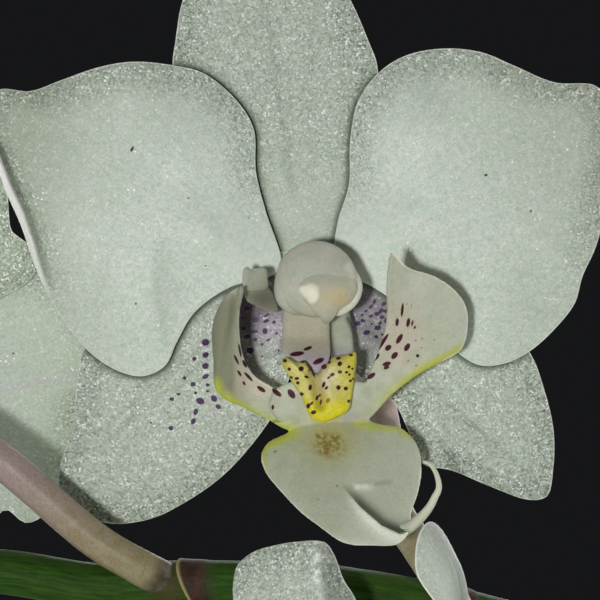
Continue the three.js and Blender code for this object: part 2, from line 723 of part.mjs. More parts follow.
// Column: a rounded cap on a neck, with the foot that carries the lip.
function columnGeometry(detail) {
  const rings = COLUMN_RINGS.map(([height, x, y, halfWidth, halfHeight]) =>
    Array.from({ length: COLUMN_SIDES }, (_, side) => {
      const angle = (2 * Math.PI * side) / COLUMN_SIDES;
      return new THREE.Vector3(x + halfWidth * Math.cos(angle), y + halfHeight * Math.sin(angle), height);
    }),
  );
  const [faceHeight, faceX, faceY] = COLUMN_FACE;
  const body = skin(new THREE.Vector3(0, 0, COLUMN_BASE), rings, new THREE.Vector3(faceX, faceY, faceHeight));
  const plate = { thickness: FOOT_SHAPE.thickness, sides: detail.smallSides, rings: [1] };
  const foot = blade(COLUMN_FOOT, footHeight, plate);
  return geometryOf(solid(body).add(solid(foot)));
}

// Lip: two side lobes and a middle lobe with its thread, grown together on a thick hub.
function lipGeometry(detail) {
  const plate = (outline, heightAt, thickness, rings) =>
    solid(blade(outline, heightAt, { thickness, sides: detail.smallSides, rings }));
  const thread = stem(LIP_THREAD_ROUTE, () => round(LIP_THREAD.radius), LIP_THREAD.sides, LIP_THREAD.steps);
  const whole = plate(LIP_HUB, () => HUB_HEIGHT, HUB_THICKNESS, [1])
    .add(plate(LIP_LOBE_LEFT, leftLobeHeight, LIP_THICKNESS, LOBE_RINGS))
    .add(plate(LIP_LOBE_RIGHT, rightLobeHeight, LIP_THICKNESS, LOBE_RINGS))
    .add(plate(LIP_MIDLOBE, midlobeHeight, LIP_THICKNESS, detail.rings))
    .add(solid(thread));
  return geometryOf(whole);
}

// Callus: the swollen yellow ridge that sits on the hub.
function callusGeometry(detail) {
  const bottom = HUB_HEIGHT + HUB_THICKNESS / 2 + CLEARANCE;
  const heightAt = () => bottom + CALLUS_HEIGHT / 2;
  return blade(CALLUS, heightAt, { thickness: CALLUS_HEIGHT, sides: detail.smallSides, rings: [1] });
}

function bloomMeshes(number, detail) {
  const petal = { thickness: TEPAL_THICKNESS, sides: detail.petalSides, rings: detail.rings };
  const sepal = { thickness: TEPAL_THICKNESS, sides: detail.sepalSides, rings: detail.rings };
  const tepals = Object.entries(OUTLINES).map(([name, outline]) => {
    const isPetal = name.startsWith('petal');
    const geometry = blade(outline, isPetal ? petalHeight : sepalHeight, isPetal ? petal : sepal);
    return named(`bloom_${number}_${name}`, geometry, tepalWhite);
  });
  return [
    ...tepals,
    named(`bloom_${number}_column`, columnGeometry(detail), columnWhite),
    named(`bloom_${number}_lip`, lipGeometry(detail), lipWhite),
    named(`bloom_${number}_callus`, callusGeometry(detail), callusYellow),
  ];
}

function bloomGroup({ centre, heading, tilt, roll, size }, number) {
  const turned = new THREE.Group();
  turned.position.set(...centre);
  turned.rotation.z = radians(heading);
  const raised = new THREE.Group();
  raised.rotation.x = radians(90 - tilt);
  const rolled = new THREE.Group();
  rolled.rotation.z = radians(roll);
  rolled.scale.setScalar(size);
  rolled.add(...bloomMeshes(number, number === 1 ? MAIN_DETAIL : BLOOM_DETAIL));
  turned.add(raised);
  raised.add(rolled);
  turned.updateMatrixWorld(true);
  return { group: turned, place: rolled.matrixWorld };
}

// Pedicel: from the spike's side to the back of the column, meeting it square.
function pedicelMesh({ pedicel }, place, number) {
  const end = new THREE.Vector3(0, 0, COLUMN_BASE - CLEARANCE).applyMatrix4(place);
  const before = new THREE.Vector3(0, 0, COLUMN_BASE - CLEARANCE - PEDICEL.straight).applyMatrix4(place);
  const route = [...pedicel, before.toArray(), end.toArray()];
  const radiusAt = (share) => {
    const widening = smoothstep(share, 0, PEDICEL.neckShare);
    return round(THREE.MathUtils.lerp(PEDICEL.neckRadius, PEDICEL.radius, widening));
  };
  const body = solid(stem(route, radiusAt, PEDICEL.sides, PEDICEL.steps)).subtract(spikeCutter);
  return named(`pedicel_${number}`, geometryOf(body), pedicelBlush);
}

// Bud: an egg with three shallow seams, on a thin stalk.
function budMesh({ foot, start, tip, width }, number) {
  const [root, from, to] = [foot, start, tip].map(vector);
  const sagged = root.clone().lerp(from, 0.5).add(new THREE.Vector3(0, 0, -BUD.stalkSag));
  const inside = from.clone().lerp(to, BUD.stalkReach);
  const route = [foot, sagged.toArray(), start, inside.toArray()];
  const stalk = stem(route, () => round(BUD.stalkRadius), BUD.stalkSides, BUD.stalkSteps);
  const up = new THREE.Vector3(0, 0, 1);
  const turn = new THREE.Quaternion().setFromUnitVectors(up, to.clone().sub(from).normalize());
  const length = from.distanceTo(to);
  const rings = Array.from({ length: BUD.rings }, (_, place) => {
    const share = (place + 0.5) / BUD.rings;
    const radius = (width / 2) * Math.sin(Math.PI * share ** BUD.girthPower) ** BUD.endPower;
    return Array.from({ length: BUD.sides }, (__, side) => {
      const angle = (2 * Math.PI * side) / BUD.sides;
      const seam = 1 - BUD.seamDepth * (1 + Math.cos(BUD.seams * angle));
      const [x, y] = [radius * seam * Math.cos(angle), radius * seam * Math.sin(angle)];
      return new THREE.Vector3(x, y, share * length).applyQuaternion(turn).add(from);
    });
  });
  const body = solid(skin(from, rings, to)).add(solid(stalk)).subtract(spikeCutter);
  return named(`bud_${number}`, geometryOf(body), budGreen);
}

const orchid = new THREE.Group();
orchid.add(pot(), medium(), named('stem', stemBody(0), leafGreen), ...roots(), ...leaves(), flowerSpike());
BLOOMS.forEach((bloom, place) => {
  const { group, place: matrix } = bloomGroup(bloom, place + 1);
  orchid.add(group, pedicelMesh(bloom, matrix, place + 1));
});
orchid.add(...BUDS.map((bud, place) => budMesh(bud, place + 1)));

export default orchid;
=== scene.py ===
# %% [markdown]
# # A potted miniature moth orchid
# The plant grows in a small glazed pot of bark. Its spike arches over and carries four open blooms
# and three buds. The imported solids already give every place and size in one frame, so the lesson
# starts by loading them.

# %% Load the imported solids
import bpy
import numpy as np
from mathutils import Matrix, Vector


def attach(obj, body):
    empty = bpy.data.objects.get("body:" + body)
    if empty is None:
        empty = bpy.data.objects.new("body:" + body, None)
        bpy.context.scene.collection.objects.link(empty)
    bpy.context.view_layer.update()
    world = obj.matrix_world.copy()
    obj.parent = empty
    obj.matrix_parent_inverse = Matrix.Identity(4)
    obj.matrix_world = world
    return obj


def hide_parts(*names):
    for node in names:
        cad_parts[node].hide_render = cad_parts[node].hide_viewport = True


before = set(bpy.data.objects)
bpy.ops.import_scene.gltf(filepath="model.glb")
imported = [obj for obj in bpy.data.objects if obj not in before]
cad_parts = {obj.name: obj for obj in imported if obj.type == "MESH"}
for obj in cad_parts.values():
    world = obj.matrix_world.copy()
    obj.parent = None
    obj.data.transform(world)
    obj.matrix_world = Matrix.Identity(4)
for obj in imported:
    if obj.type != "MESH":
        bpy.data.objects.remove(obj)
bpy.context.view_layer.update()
print("solids loaded:", len(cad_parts))

# %% [markdown]
# ## From numbers to meshes
# Petals, stems and leaves could be pushed about by hand. Worked out as surfaces, they stay smooth
# at any density and their markings can be placed to a tenth of a millimetre. A shape here is a set
# of points in millimetres with its faces, and with marks, which are numbers kept at every point.

# %% Shapes and their marks
MM = 0.001


def faces_out(shape):
    """Turns the faces outward: the volume summed over all faces is positive then."""
    corners = shape["points"]
    quads = shape["quads"]
    halves = np.vstack([shape["triangles"], quads[:, [0, 1, 2]], quads[:, [0, 2, 3]]])
    first, second, third = corners[halves[:, 0]], corners[halves[:, 1]], corners[halves[:, 2]]
    if (first * np.cross(second, third)).sum() < 0:
        shape["quads"] = quads[:, ::-1]
        shape["triangles"] = shape["triangles"][:, ::-1]
    return shape


def skin(grid, **marks):
    """A closed surface over a grid whose first and last rows are each one point, the poles."""
    rows, around = grid.shape[:2]
    once = lambda field: np.concatenate([field[0, :1], field[1:-1].reshape(-1), field[-1, :1]])
    points = np.vstack([grid[0, :1], grid[1:-1].reshape(-1, 3), grid[-1, :1]])
    side = np.arange(around)
    turn = (side + 1) % around
    ring = 1 + around * np.arange(rows - 2)[:, None]
    quads = np.stack([ring[:-1] + side, ring[:-1] + turn, ring[1:] + turn, ring[1:] + side], -1)
    last_ring = 1 + around * (rows - 3)
    start = np.stack([np.zeros_like(side), 1 + turn, 1 + side], -1)
    end = np.stack([np.full_like(side, len(points) - 1), last_ring + side, last_ring + turn], -1)
    return faces_out({
        "points": points,
        "quads": quads.reshape(-1, 4),
        "triangles": np.vstack([start, end]),
        "marks": {name: once(field) for name, field in marks.items()},
    })


def join(shapes):
    """One shape out of several; a mark that one of them lacks is 0 there."""
    names = sorted({name for shape in shapes for name in shape["marks"]})
    shifts = np.cumsum([0] + [len(shape["points"]) for shape in shapes])
    blank = lambda shape: np.zeros(len(shape["points"]))
    return {
        "points": np.vstack([shape["points"] for shape in shapes]),
        "quads": np.vstack([s["quads"] + shift for s, shift in zip(shapes, shifts)]),
        "triangles": np.vstack([s["triangles"] + shift for s, shift in zip(shapes, shifts)]),
        "marks": {n: np.concatenate([s["marks"].get(n, blank(s)) for s in shapes]) for n in names},
    }


def mesh_of(name, shape, unit=MM, smooth=True):
    """A mesh with the shape's points times the unit, its faces, and each mark as an attribute."""
    mesh = bpy.data.meshes.new(name)
    corners = np.concatenate([shape["quads"].ravel(), shape["triangles"].ravel()]).astype(np.int32)
    sizes = np.repeat([4, 3], [len(shape["quads"]), len(shape["triangles"])])
    mesh.vertices.add(len(shape["points"]))
    mesh.vertices.foreach_set("co", (shape["points"] * unit).astype(np.float32).ravel())
    mesh.loops.add(len(corners))
    mesh.loops.foreach_set("vertex_index", corners)
    mesh.polygons.add(len(sizes))
    mesh.polygons.foreach_set("loop_start", (np.cumsum(sizes) - sizes).astype(np.int32))
    mesh.polygons.foreach_set("use_smooth", np.full(len(sizes), smooth))
    mesh.update(calc_edges=True)
    for mark, values in shape["marks"].items():
        attribute = mesh.attributes.new(mark, "FLOAT", "POINT")
        attribute.data.foreach_set("value", values.astype(np.float32))
    return mesh


def piece(name, shape, material, stands_for=(), smooth=True):
    """A finished piece on the plant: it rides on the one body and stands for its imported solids."""
    made = bpy.data.objects.new(name, mesh_of(name, shape, smooth=smooth))
    made.data.materials.append(material)
    bpy.context.scene.collection.objects.link(made)
    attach(made, "root")
    if stands_for:
        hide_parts(*stands_for)
    print(f"{name}: {len(shape['points'])} points")
    return made


# %% [markdown]
# ## Outlines, routes and lines
# A petal's edge or a stem's path is marked by a few points. A curve through them, spaced by its
# own length, gives as many places as the surface needs. The same distance rule that measures how
# far a point is from a bent line later paints yellow margins and presses folds.

# %% A smooth curve through points
def smooth_curve(points, places, closed=False):
    """Centripetal Catmull-Rom curve, read at places from 0 to 1 of its length.

    Between two points it is a cubic whose end slopes come from the neighbours, each spaced by
    the square root of the distance between them.
    """
    points = np.asarray(points, float)
    if closed:
        run = np.vstack([points[-1:], points, points[:2]])
    else:
        run = np.vstack([2 * points[:1] - points[1:2], points, 2 * points[-1:] - points[-2:-1]])
    gap = np.sqrt(np.linalg.norm(np.diff(run, axis=0), axis=1))[:, None, None]
    one, two, three, four = [run[k : len(run) - 3 + k][:, None, :] for k in range(4)]
    g1, g2, g3 = gap[:-2], gap[1:-1], gap[2:]
    leave = ((two - one) / g1 - (three - one) / (g1 + g2) + (three - two) / g2) * g2
    arrive = ((three - two) / g2 - (four - two) / (g2 + g3) + (four - three) / g3) * g2
    t = np.linspace(0, 1, 24, endpoint=False)[None, :, None]
    cubic = (2 * t**3 - 3 * t**2 + 1) * two + (t**3 - 2 * t**2 + t) * leave
    cubic = cubic + (3 * t**2 - 2 * t**3) * three + (t**3 - t**2) * arrive
    dense = np.vstack([cubic.reshape(-1, points.shape[1]), three[-1]])
    steps = np.linalg.norm(np.diff(dense, axis=0), axis=1)
    length = np.concatenate([[0], np.cumsum(steps)])
    reached = [np.interp(places, length / length[-1], dense[:, k]) for k in range(points.shape[1])]
    return np.stack(reached, -1)


def smoothstep(value, low, high):
    """0 below low, 1 above high, and 3s² - 2s³ between them."""
    s = np.clip((value - low) / (high - low), 0, 1)
    return s * s * (3 - 2 * s)


def bump(value, middle, width):
    """A bell of height 1: e to the power of minus the squared distance in widths."""
    return np.exp(-(((value - middle) / width) ** 2))


def line_distance(x, y, line):
    """Distance to a bent line, the share of its length at the nearest point, and the side."""
    line = np.asarray(line, float)
    start, run = line[:-1], np.diff(line, axis=0)
    place = np.stack([x, y], -1)[..., None, :]
    share = np.clip(((place - start) * run).sum(-1) / (run**2).sum(-1), 0, 1)
    gap = place - (start + share[..., None] * run)
    size = np.linalg.norm(gap, axis=-1)
    nearest = size.argmin(-1)
    pick = lambda field: np.take_along_axis(field, nearest[..., None], -1)[..., 0]
    length = np.linalg.norm(run, axis=1)
    before = np.cumsum(length) - length
    along = (before[nearest] + pick(share) * length[nearest]) / length.sum()
    side = np.sign(pick(run[:, 0] * gap[..., 1] - run[:, 1] * gap[..., 0]))
    return pick(size), along, side


print("halfway along an arch:", smooth_curve([(0, 0), (1, 1), (2, 0)], [0.5])[0])

# %% Spots as a field
def spot_field(x, y, spots):
    """1 at a spot's middle, 0 on its outline, less outside, and -1 everywhere without spots.

    A spot is an ellipse: its place across and up, half its length and width, and its turn.
    """
    if not spots:
        return np.full(x.shape, -1.0)
    across, up, long, wide, turn = np.asarray(spots, float).T
    turn = np.radians(turn)
    dx, dy = x[..., None] - across, y[..., None] - up
    u = (dx * np.cos(turn) + dy * np.sin(turn)) / long
    v = (dy * np.cos(turn) - dx * np.sin(turn)) / wide
    return np.clip(1 - np.sqrt(u**2 + v**2), -2, 1).max(-1)


print("a spot's middle:", spot_field(np.array([0.0]), np.array([0.0]), [(0, 0, 1, 1, 0)]))

# %% [markdown]
# ## Two ways to make living tissue
# A petal is a thin blade: rings of its outline shrink towards a middle point, a formula lifts
# them, and front and back close in a rounded edge. A stem is a tube: circles carried along a
# route. Parts that grew together, such as the lip's lobes, are melted into one skin by a voxel
# remesh, which leaves no seam where they meet.

# %% Circles, directions and poles
def circle(count):
    """Angles in even steps round a full turn."""
    return 2 * np.pi * np.arange(count) / count


def unit(vectors):
    """The same directions, each with the length 1."""
    return vectors / np.linalg.norm(vectors, axis=-1, keepdims=True)


def spokes(angle, side, other):
    """Directions round a route: cos a x side + sin a x other."""
    return np.cos(angle)[None, :, None] * side + np.sin(angle)[None, :, None] * other


def padded(field):
    """The rows with the first and the last of them once more, for the poles."""
    return np.concatenate([field[:1], field, field[-1:]])


def capped(grid):
    """The grid between two poles, which are the means of its first and last rows."""
    start, end = [np.repeat(grid[[row]].mean(1, keepdims=True), grid.shape[1], 1) for row in (0, -1)]
    return np.concatenate([start, grid, end])


print("a turn in four steps:", np.degrees(circle(4)))


# %% Blades
def blade(outline, height_at, thickness, around, rings, crowd=1.5, places=None):
    """A closed thin blade.

    Point = middle + share x (edge - middle), lifted to height_at. The share runs from 0 to 1 on
    the front and back again behind. Half the thickness is added in front and taken behind, times
    the root of 1 - share^p, which rounds the edge; p grows with the blade's size.
    """
    middle = np.array(outline["middle"], float)
    if places is None:
        places = np.arange(around) / around
    rim = smooth_curve(outline["points"], places, closed=True)
    reach = np.linalg.norm(rim - middle, axis=1)
    out = 1 - (1 - np.linspace(0, 1, rings + 1)) ** crowd
    share = np.concatenate([out, out[-2::-1]])[:, None]
    front = np.concatenate([np.ones(rings), [0], -np.ones(rings)])[:, None]
    plan = middle + share[..., None] * (rim - middle)[None]
    at = {
        "x": plan[..., 0],
        "y": plan[..., 1],
        "share": share + 0 * reach,
        "edge": (1 - share) * reach,
        "rim_x": rim[:, 0] + 0 * share,
        "rim_y": rim[:, 1] + 0 * share,
    }
    depth = thickness(at) if callable(thickness) else thickness
    power = 1.4 * reach.mean() / np.max(depth)
    half = depth / 2 * np.sqrt(np.clip(1 - share ** max(power, 3), 0, 1))
    height = height_at(at) + np.sign(front) * half
    grid = np.stack([at["x"], at["y"], height], -1)
    return skin(grid, face=front + 0 * reach, edge=at["edge"])


small_square = {"middle": (0, 0), "points": ((1, 1), (-1, 1), (-1, -1), (1, -1))}
small_blade = blade(small_square, lambda at: 0 * at["x"], 0.1, 16, 4)
print("a small blade:", len(small_blade["points"]), "points")


# %% Tubes and melting
def tube(route, radius, around, along):
    """Circles round a route: middle + radius x (cos a x side + sin a x other), closed at the ends.

    The sides are squared up against the direction in which the route turns least.
    """
    share = np.linspace(0, 1, along)
    middle = smooth_curve(route, share)
    tangent = unit(np.gradient(middle, axis=0))
    still = np.linalg.svd(tangent)[2][-1]
    side = unit(np.cross(tangent, still))
    other = np.cross(side, tangent)
    angle = circle(around)
    size = radius(share[:, None], angle[None, :]) + 0 * angle
    walls = middle[:, None] + size[..., None] * spokes(angle, side[:, None], other[:, None])
    ends = [np.repeat(middle[k : k + 1, None], around, 1) for k in (0, along - 1)]
    grid = np.concatenate([ends[0], walls, ends[1]])
    reached = padded(share)[:, None] + 0 * angle
    return skin(grid, along=reached, angle=angle + 0 * reached)


def melt(shape, voxel, passes):
    """Grows overlapping shapes into one skin: a voxel remesh in millimetres, then smoothing."""
    helper = bpy.data.objects.new("melting", mesh_of("melting", shape, unit=1.0))
    bpy.context.scene.collection.objects.link(helper)
    remesh = helper.modifiers.new("grow together", "REMESH")
    remesh.mode = "VOXEL"
    remesh.voxel_size = voxel
    soften = helper.modifiers.new("soften", "SMOOTH")
    soften.factor = 0.5
    soften.iterations = passes
    finished = helper.evaluated_get(bpy.context.evaluated_depsgraph_get())
    whole = bpy.data.meshes.new_from_object(finished)
    points = np.empty(len(whole.vertices) * 3, np.float32)
    corners = np.empty(len(whole.loops), np.int32)
    whole.vertices.foreach_get("co", points)
    whole.loops.foreach_get("vertex_index", corners)
    bpy.data.objects.remove(helper)
    return faces_out({
        "points": points.reshape(-1, 3).astype(float),
        "quads": corners.reshape(-1, 4).astype(int),
        "triangles": np.empty((0, 3), int),
        "marks": {},
    })


small_tube = tube([(0, 0, 0), (1, 0, 1), (2, 0, 0)], lambda share, angle: 0.1 + 0 * share, 8, 12)
print("a small tube:", len(small_tube["points"]), "points")

# %% [markdown]
# ## Where each bloom sits
# All four blooms share one plan, drawn flat with x to the right, y up and z towards the viewer.
# Each is then rolled, tilted, turned to its heading and moved to its place on the spike.

# %% Bloom places
BLOOMS = (
    {"centre": (-9.4, 0, 180.4), "heading": 0, "tilt": 0, "roll": 0, "size": 1,
     "pedicel": ((1.6, -2.6, 153.6), (1, -1.2, 155.8), (-0.5, 1.2, 158.2), (-2.1, 3.4, 160.6),
                 (-2.8, 4.8, 163), (-3.3, 6, 168.1), (-5.2, 6.8, 175), (-7.8, 6.2, 179.4))},
    {"centre": (-47, 1, 170.8), "heading": 205, "tilt": 0, "roll": 24, "size": 0.92,
     "pedicel": ((-20.2, -4, 155.5), (-22.4, -5.3, 156.9), (-25.9, -5.6, 159),
                 (-33.6, -4.9, 165.4), (-39, -5.6, 169.2), (-43.6, -5.6, 170.6))},
    {"centre": (-14.6, -11, 133.2), "heading": -35, "tilt": 0, "roll": -20, "size": 0.97,
     "pedicel": ((-8, -3.6, 155.1), (-7.2, 0, 150), (-7.2, 2, 142), (-9.4, 0, 135.4))},
    {"centre": (11.3, -33.2, 137.4), "heading": 79, "tilt": 20, "roll": 0, "size": 1,
     "pedicel": ((8, -2.2, 151.5), (6.5, -8, 150), (5.4, -16, 148), (4.8, -24, 144.6),
                 (4.6, -29.6, 139.8))},
)


def turned(degrees, axis):
    """A rotation matrix about the x or the z axis."""
    c, s = np.cos(np.radians(degrees)), np.sin(np.radians(degrees))
    if axis == "x":
        return np.array([[1, 0, 0], [0, c, -s], [0, s, c]])
    return np.array([[c, -s, 0], [s, c, 0], [0, 0, 1]])


def on_bloom(points, bloom):
    """Centre + turn by heading x raise by 90 - tilt x roll x size x point."""
    upright = turned(bloom["heading"], "z") @ turned(90 - bloom["tilt"], "x")
    turn = upright @ turned(bloom["roll"], "z")
    return np.array(bloom["centre"], float) + bloom["size"] * np.asarray(points, float) @ turn.T


def placed(shape, bloom):
    """The same shape, moved onto its bloom."""
    return {**shape, "points": on_bloom(shape["points"], bloom)}


print("blooms:", len(BLOOMS))

# %% [markdown]
# ## Building materials from nodes
# A painted texture would need a picture. Nodes make colour, grain and small relief from the
# surface's own place, so the finish holds at any distance and from any side. A few short helpers
# keep each material readable, and effects that several tissues share are groups built once.

# %% Node helpers
def add(tree, kind, inputs=None, **settings):
    """A node with its settings; an input is a value, or a socket that is linked to it."""
    made = tree.nodes.new(kind)
    for key, value in settings.items():
        setattr(made, key, value)
    for key, value in (inputs or {}).items():
        if isinstance(value, bpy.types.NodeSocket):
            tree.links.new(value, made.inputs[key])
        else:
            made.inputs[key].default_value = value
    return made


def mark(tree, name):
    """The number kept at each point under that name."""
    return add(tree, "ShaderNodeAttribute", attribute_name=name).outputs["Fac"]


def mix(tree, factor, low, high):
    """Low where the factor is 0 and high where it is 1; both are colours."""
    solid = lambda colour: (*colour, 1) if isinstance(colour, tuple) else colour
    inputs = {0: factor, 6: solid(low), 7: solid(high)}
    return add(tree, "ShaderNodeMix", inputs, data_type="RGBA").outputs[2]


def fade(tree, value, low, high, bottom=0.0, top=1.0):
    """A smooth change from bottom to top while the value runs from low to high."""
    inputs = {"Value": value, "From Min": low, "From Max": high, "To Min": bottom, "To Max": top}
    return add(tree, "ShaderNodeMapRange", inputs, interpolation_type="SMOOTHSTEP").outputs[0]


def calc(tree, kind, first, second):
    """ADD, SUBTRACT, DIVIDE, MAXIMUM and the like of two numbers."""
    return add(tree, "ShaderNodeMath", {0: first, 1: second}, operation=kind).outputs[0]


def times(tree, first, second):
    """The product of two numbers."""
    return calc(tree, "MULTIPLY", first, second)


def paint(tree, base, *coats):
    """Lays coats over a colour: each is a mark's name or a socket, its strength and its colour.

    The strength is a factor, or else three numbers: the two values between which the coat fades
    in, and how much it covers after that.
    """
    for cover, strength, colour in coats:
        if isinstance(cover, str):
            cover = mark(tree, cover)
        if isinstance(strength, tuple):
            low, high, top = strength
            cover = fade(tree, cover, low, high, 0.0, top)
        elif strength != 1:
            cover = times(tree, cover, strength)
        base = mix(tree, cover, base, colour)
    return base


print("node helpers:", [helper.__name__ for helper in (add, mark, mix, fade, calc, times, paint)])


# %% Patterns, groups and materials
def places(tree):
    """The surface's own place, which patterns in millimetres are read from."""
    return add(tree, "ShaderNodeTexCoord").outputs["Object"]


def noise(tree, size_mm, detail=2.0):
    """Cloudy numbers whose patches are about size_mm across."""
    inputs = {"Vector": places(tree), "Scale": 1000 / size_mm, "Detail": detail}
    return add(tree, "ShaderNodeTexNoise", inputs).outputs["Fac"]


def streaks(tree, spread, scale=1.0, detail=3.0):
    """Noise that is drawn out along the surface: it runs over two marks, each times its spread."""
    ways = [times(tree, mark(tree, name), amount) for name, amount in spread.items()]
    plane = add(tree, "ShaderNodeCombineXYZ", {0: ways[0], 1: ways[1]}).outputs[0]
    inputs = {"Vector": plane, "Scale": scale, "Detail": detail}
    return add(tree, "ShaderNodeTexNoise", inputs).outputs["Fac"]


def new_group(name, inputs, outputs):
    """An empty shader group of numbers: named inputs with their usual values, named outputs."""
    tree = bpy.data.node_groups.new(name, "ShaderNodeTree")
    for label, value in inputs.items():
        socket = tree.interface.new_socket(label, in_out="INPUT", socket_type="NodeSocketFloat")
        socket.default_value = value
    for label in outputs:
        tree.interface.new_socket(label, in_out="OUTPUT", socket_type="NodeSocketFloat")
    given = tree.nodes.new("NodeGroupInput").outputs
    return tree, given, tree.nodes.new("NodeGroupOutput").inputs


def use(tree, group, **inputs):
    """Places a group in a material with its own values."""
    named = {label.replace("_", " "): value for label, value in inputs.items()}
    return add(tree, "ShaderNodeGroup", named, node_tree=group).outputs


def material(name, colour, roughness, relief, depth_mm, **fixed):
    """A Principled material: colour(tree) is its Base Color and relief(tree) its bump's height.

    The roughness is a number or a function of the tree; fixed holds the shader's other values.
    """
    made = bpy.data.materials.new(name)
    made.use_nodes = True
    tree = made.node_tree
    shader = tree.nodes["Principled BSDF"]
    tree.links.new(colour(tree), shader.inputs["Base Color"])
    if callable(roughness):
        tree.links.new(roughness(tree), shader.inputs["Roughness"])
    else:
        shader.inputs["Roughness"].default_value = roughness
    for key, value in fixed.items():
        shader.inputs[key.replace("_", " ")].default_value = value
    inputs = {"Height": relief(tree), "Distance": depth_mm * MM, "Strength": 1.0}
    tree.links.new(add(tree, "ShaderNodeBump", inputs).outputs[0], shader.inputs["Normal"])
    return made


print("patterns:", [helper.__name__ for helper in (places, noise, streaks)])

# %% [markdown]
# ## The shared effects
# A moth orchid's petals sparkle: each surface cell is a tiny lens of about a tenth of a
# millimetre, and some catch the light. The group gives every cell its own chance to look dull or
# to glint; the glint is a painted highlight, white laid into the colour. A second group draws
# veins that fan out from the claw, and a third clouds a colour.

# %% Groups: sparkle, veins, clouds
sparkle, given, result = new_group(
    "cell sparkle", {"Cell mm": 0.13, "Amount": 1.0}, ("Dull", "Shine", "Height"))
scale = calc(sparkle, "DIVIDE", 1000.0, given["Cell mm"])
cells = add(sparkle, "ShaderNodeTexVoronoi", {"Vector": places(sparkle), "Scale": scale})
chance = add(sparkle, "ShaderNodeSeparateColor", {0: cells.outputs["Color"]}).outputs[0]
clumps = fade(sparkle, noise(sparkle, 0.8), 0.42, 0.64, 0.2, 1.0)
# Painted highlight: the brightest cells in clumps, and rare cells in patches, make the Shine, a glint
# laid into the colour.
bright = times(sparkle, fade(sparkle, chance, 0.78, 0.9, 0.0, 0.9), clumps)
patches = fade(sparkle, noise(sparkle, 2.2), 0.46, 0.66)
lifted = calc(sparkle, "ADD", chance, times(sparkle, given["Amount"], 0.05))
rare = times(sparkle, fade(sparkle, lifted, 0.988, 1.01), patches)
shine = calc(sparkle, "MAXIMUM", times(sparkle, bright, given["Amount"]), rare)
dull = times(sparkle, fade(sparkle, chance, 1.0, 0.0, 0.0, 0.85), given["Amount"])
hollows = fade(sparkle, noise(sparkle, 0.3), 0.35, 0.65, 0.35, 1.0)
dome = calc(sparkle, "SUBTRACT", chance, cells.outputs["Distance"])
sparkle.links.new(times(sparkle, dull, hollows), result["Dull"])
sparkle.links.new(shine, result["Shine"])
sparkle.links.new(times(sparkle, dome, given["Amount"]), result["Height"])

veins, given, result = new_group("fanning veins", {"Count": 30.0, "Wander": 0.05}, ("Vein",))
lines = streaks(veins, {"angle": given["Count"], "reach": given["Wander"]}, detail=2.0)
past_claw = fade(veins, mark(veins, "reach"), 5.0, 12.0)
veins.links.new(times(veins, fade(veins, lines, 0.46, 0.68), past_claw), result["Vein"])

clouds, given, result = new_group(
    "soft clouds", {"Size mm": 2.0, "Low": 0.35, "High": 0.65}, ("Cloud",))
scale = calc(clouds, "DIVIDE", 1000.0, given["Size mm"])
haze = add(clouds, "ShaderNodeTexNoise", {"Vector": places(clouds), "Scale": scale, "Detail": 3.0})
clouds.links.new(fade(clouds, haze.outputs["Fac"], given["Low"], given["High"]), result["Cloud"])


def cloudy(tree, size_mm, dark, light, low=0.3, high=0.7):
    """A colour that drifts between two others in clouds of that size."""
    cloud = use(tree, clouds, Size_mm=size_mm, Low=low, High=high)["Cloud"]
    return mix(tree, cloud, dark, light)


def dull_cells(tree, amount, cell_mm=0.13):
    """How dull each surface cell looks, for tissue that is grainy without sparkling."""
    return use(tree, sparkle, Cell_mm=cell_mm, Amount=amount)["Dull"]


def fine_lumps(tree):
    """The relief of fleshy tissue: noise of 0.3 mm, and twice as high of 1.1 mm."""
    return calc(tree, "ADD", noise(tree, 0.3), times(tree, noise(tree, 1.1), 2.0))


print("groups:", [group.name for group in bpy.data.node_groups])

# %% [markdown]
# ## Petals and sepals
# The five tepals are white with a breath of green and pink. The petals bulge forward and lie over
# the sepals, which curl back at their tips. Near the claw the tissue is smooth; towards the margin
# it sparkles more. The two lower sepals carry purple spots by the lip. Every outline has the same
# points as its solid, so the finer blade keeps the solid's form.

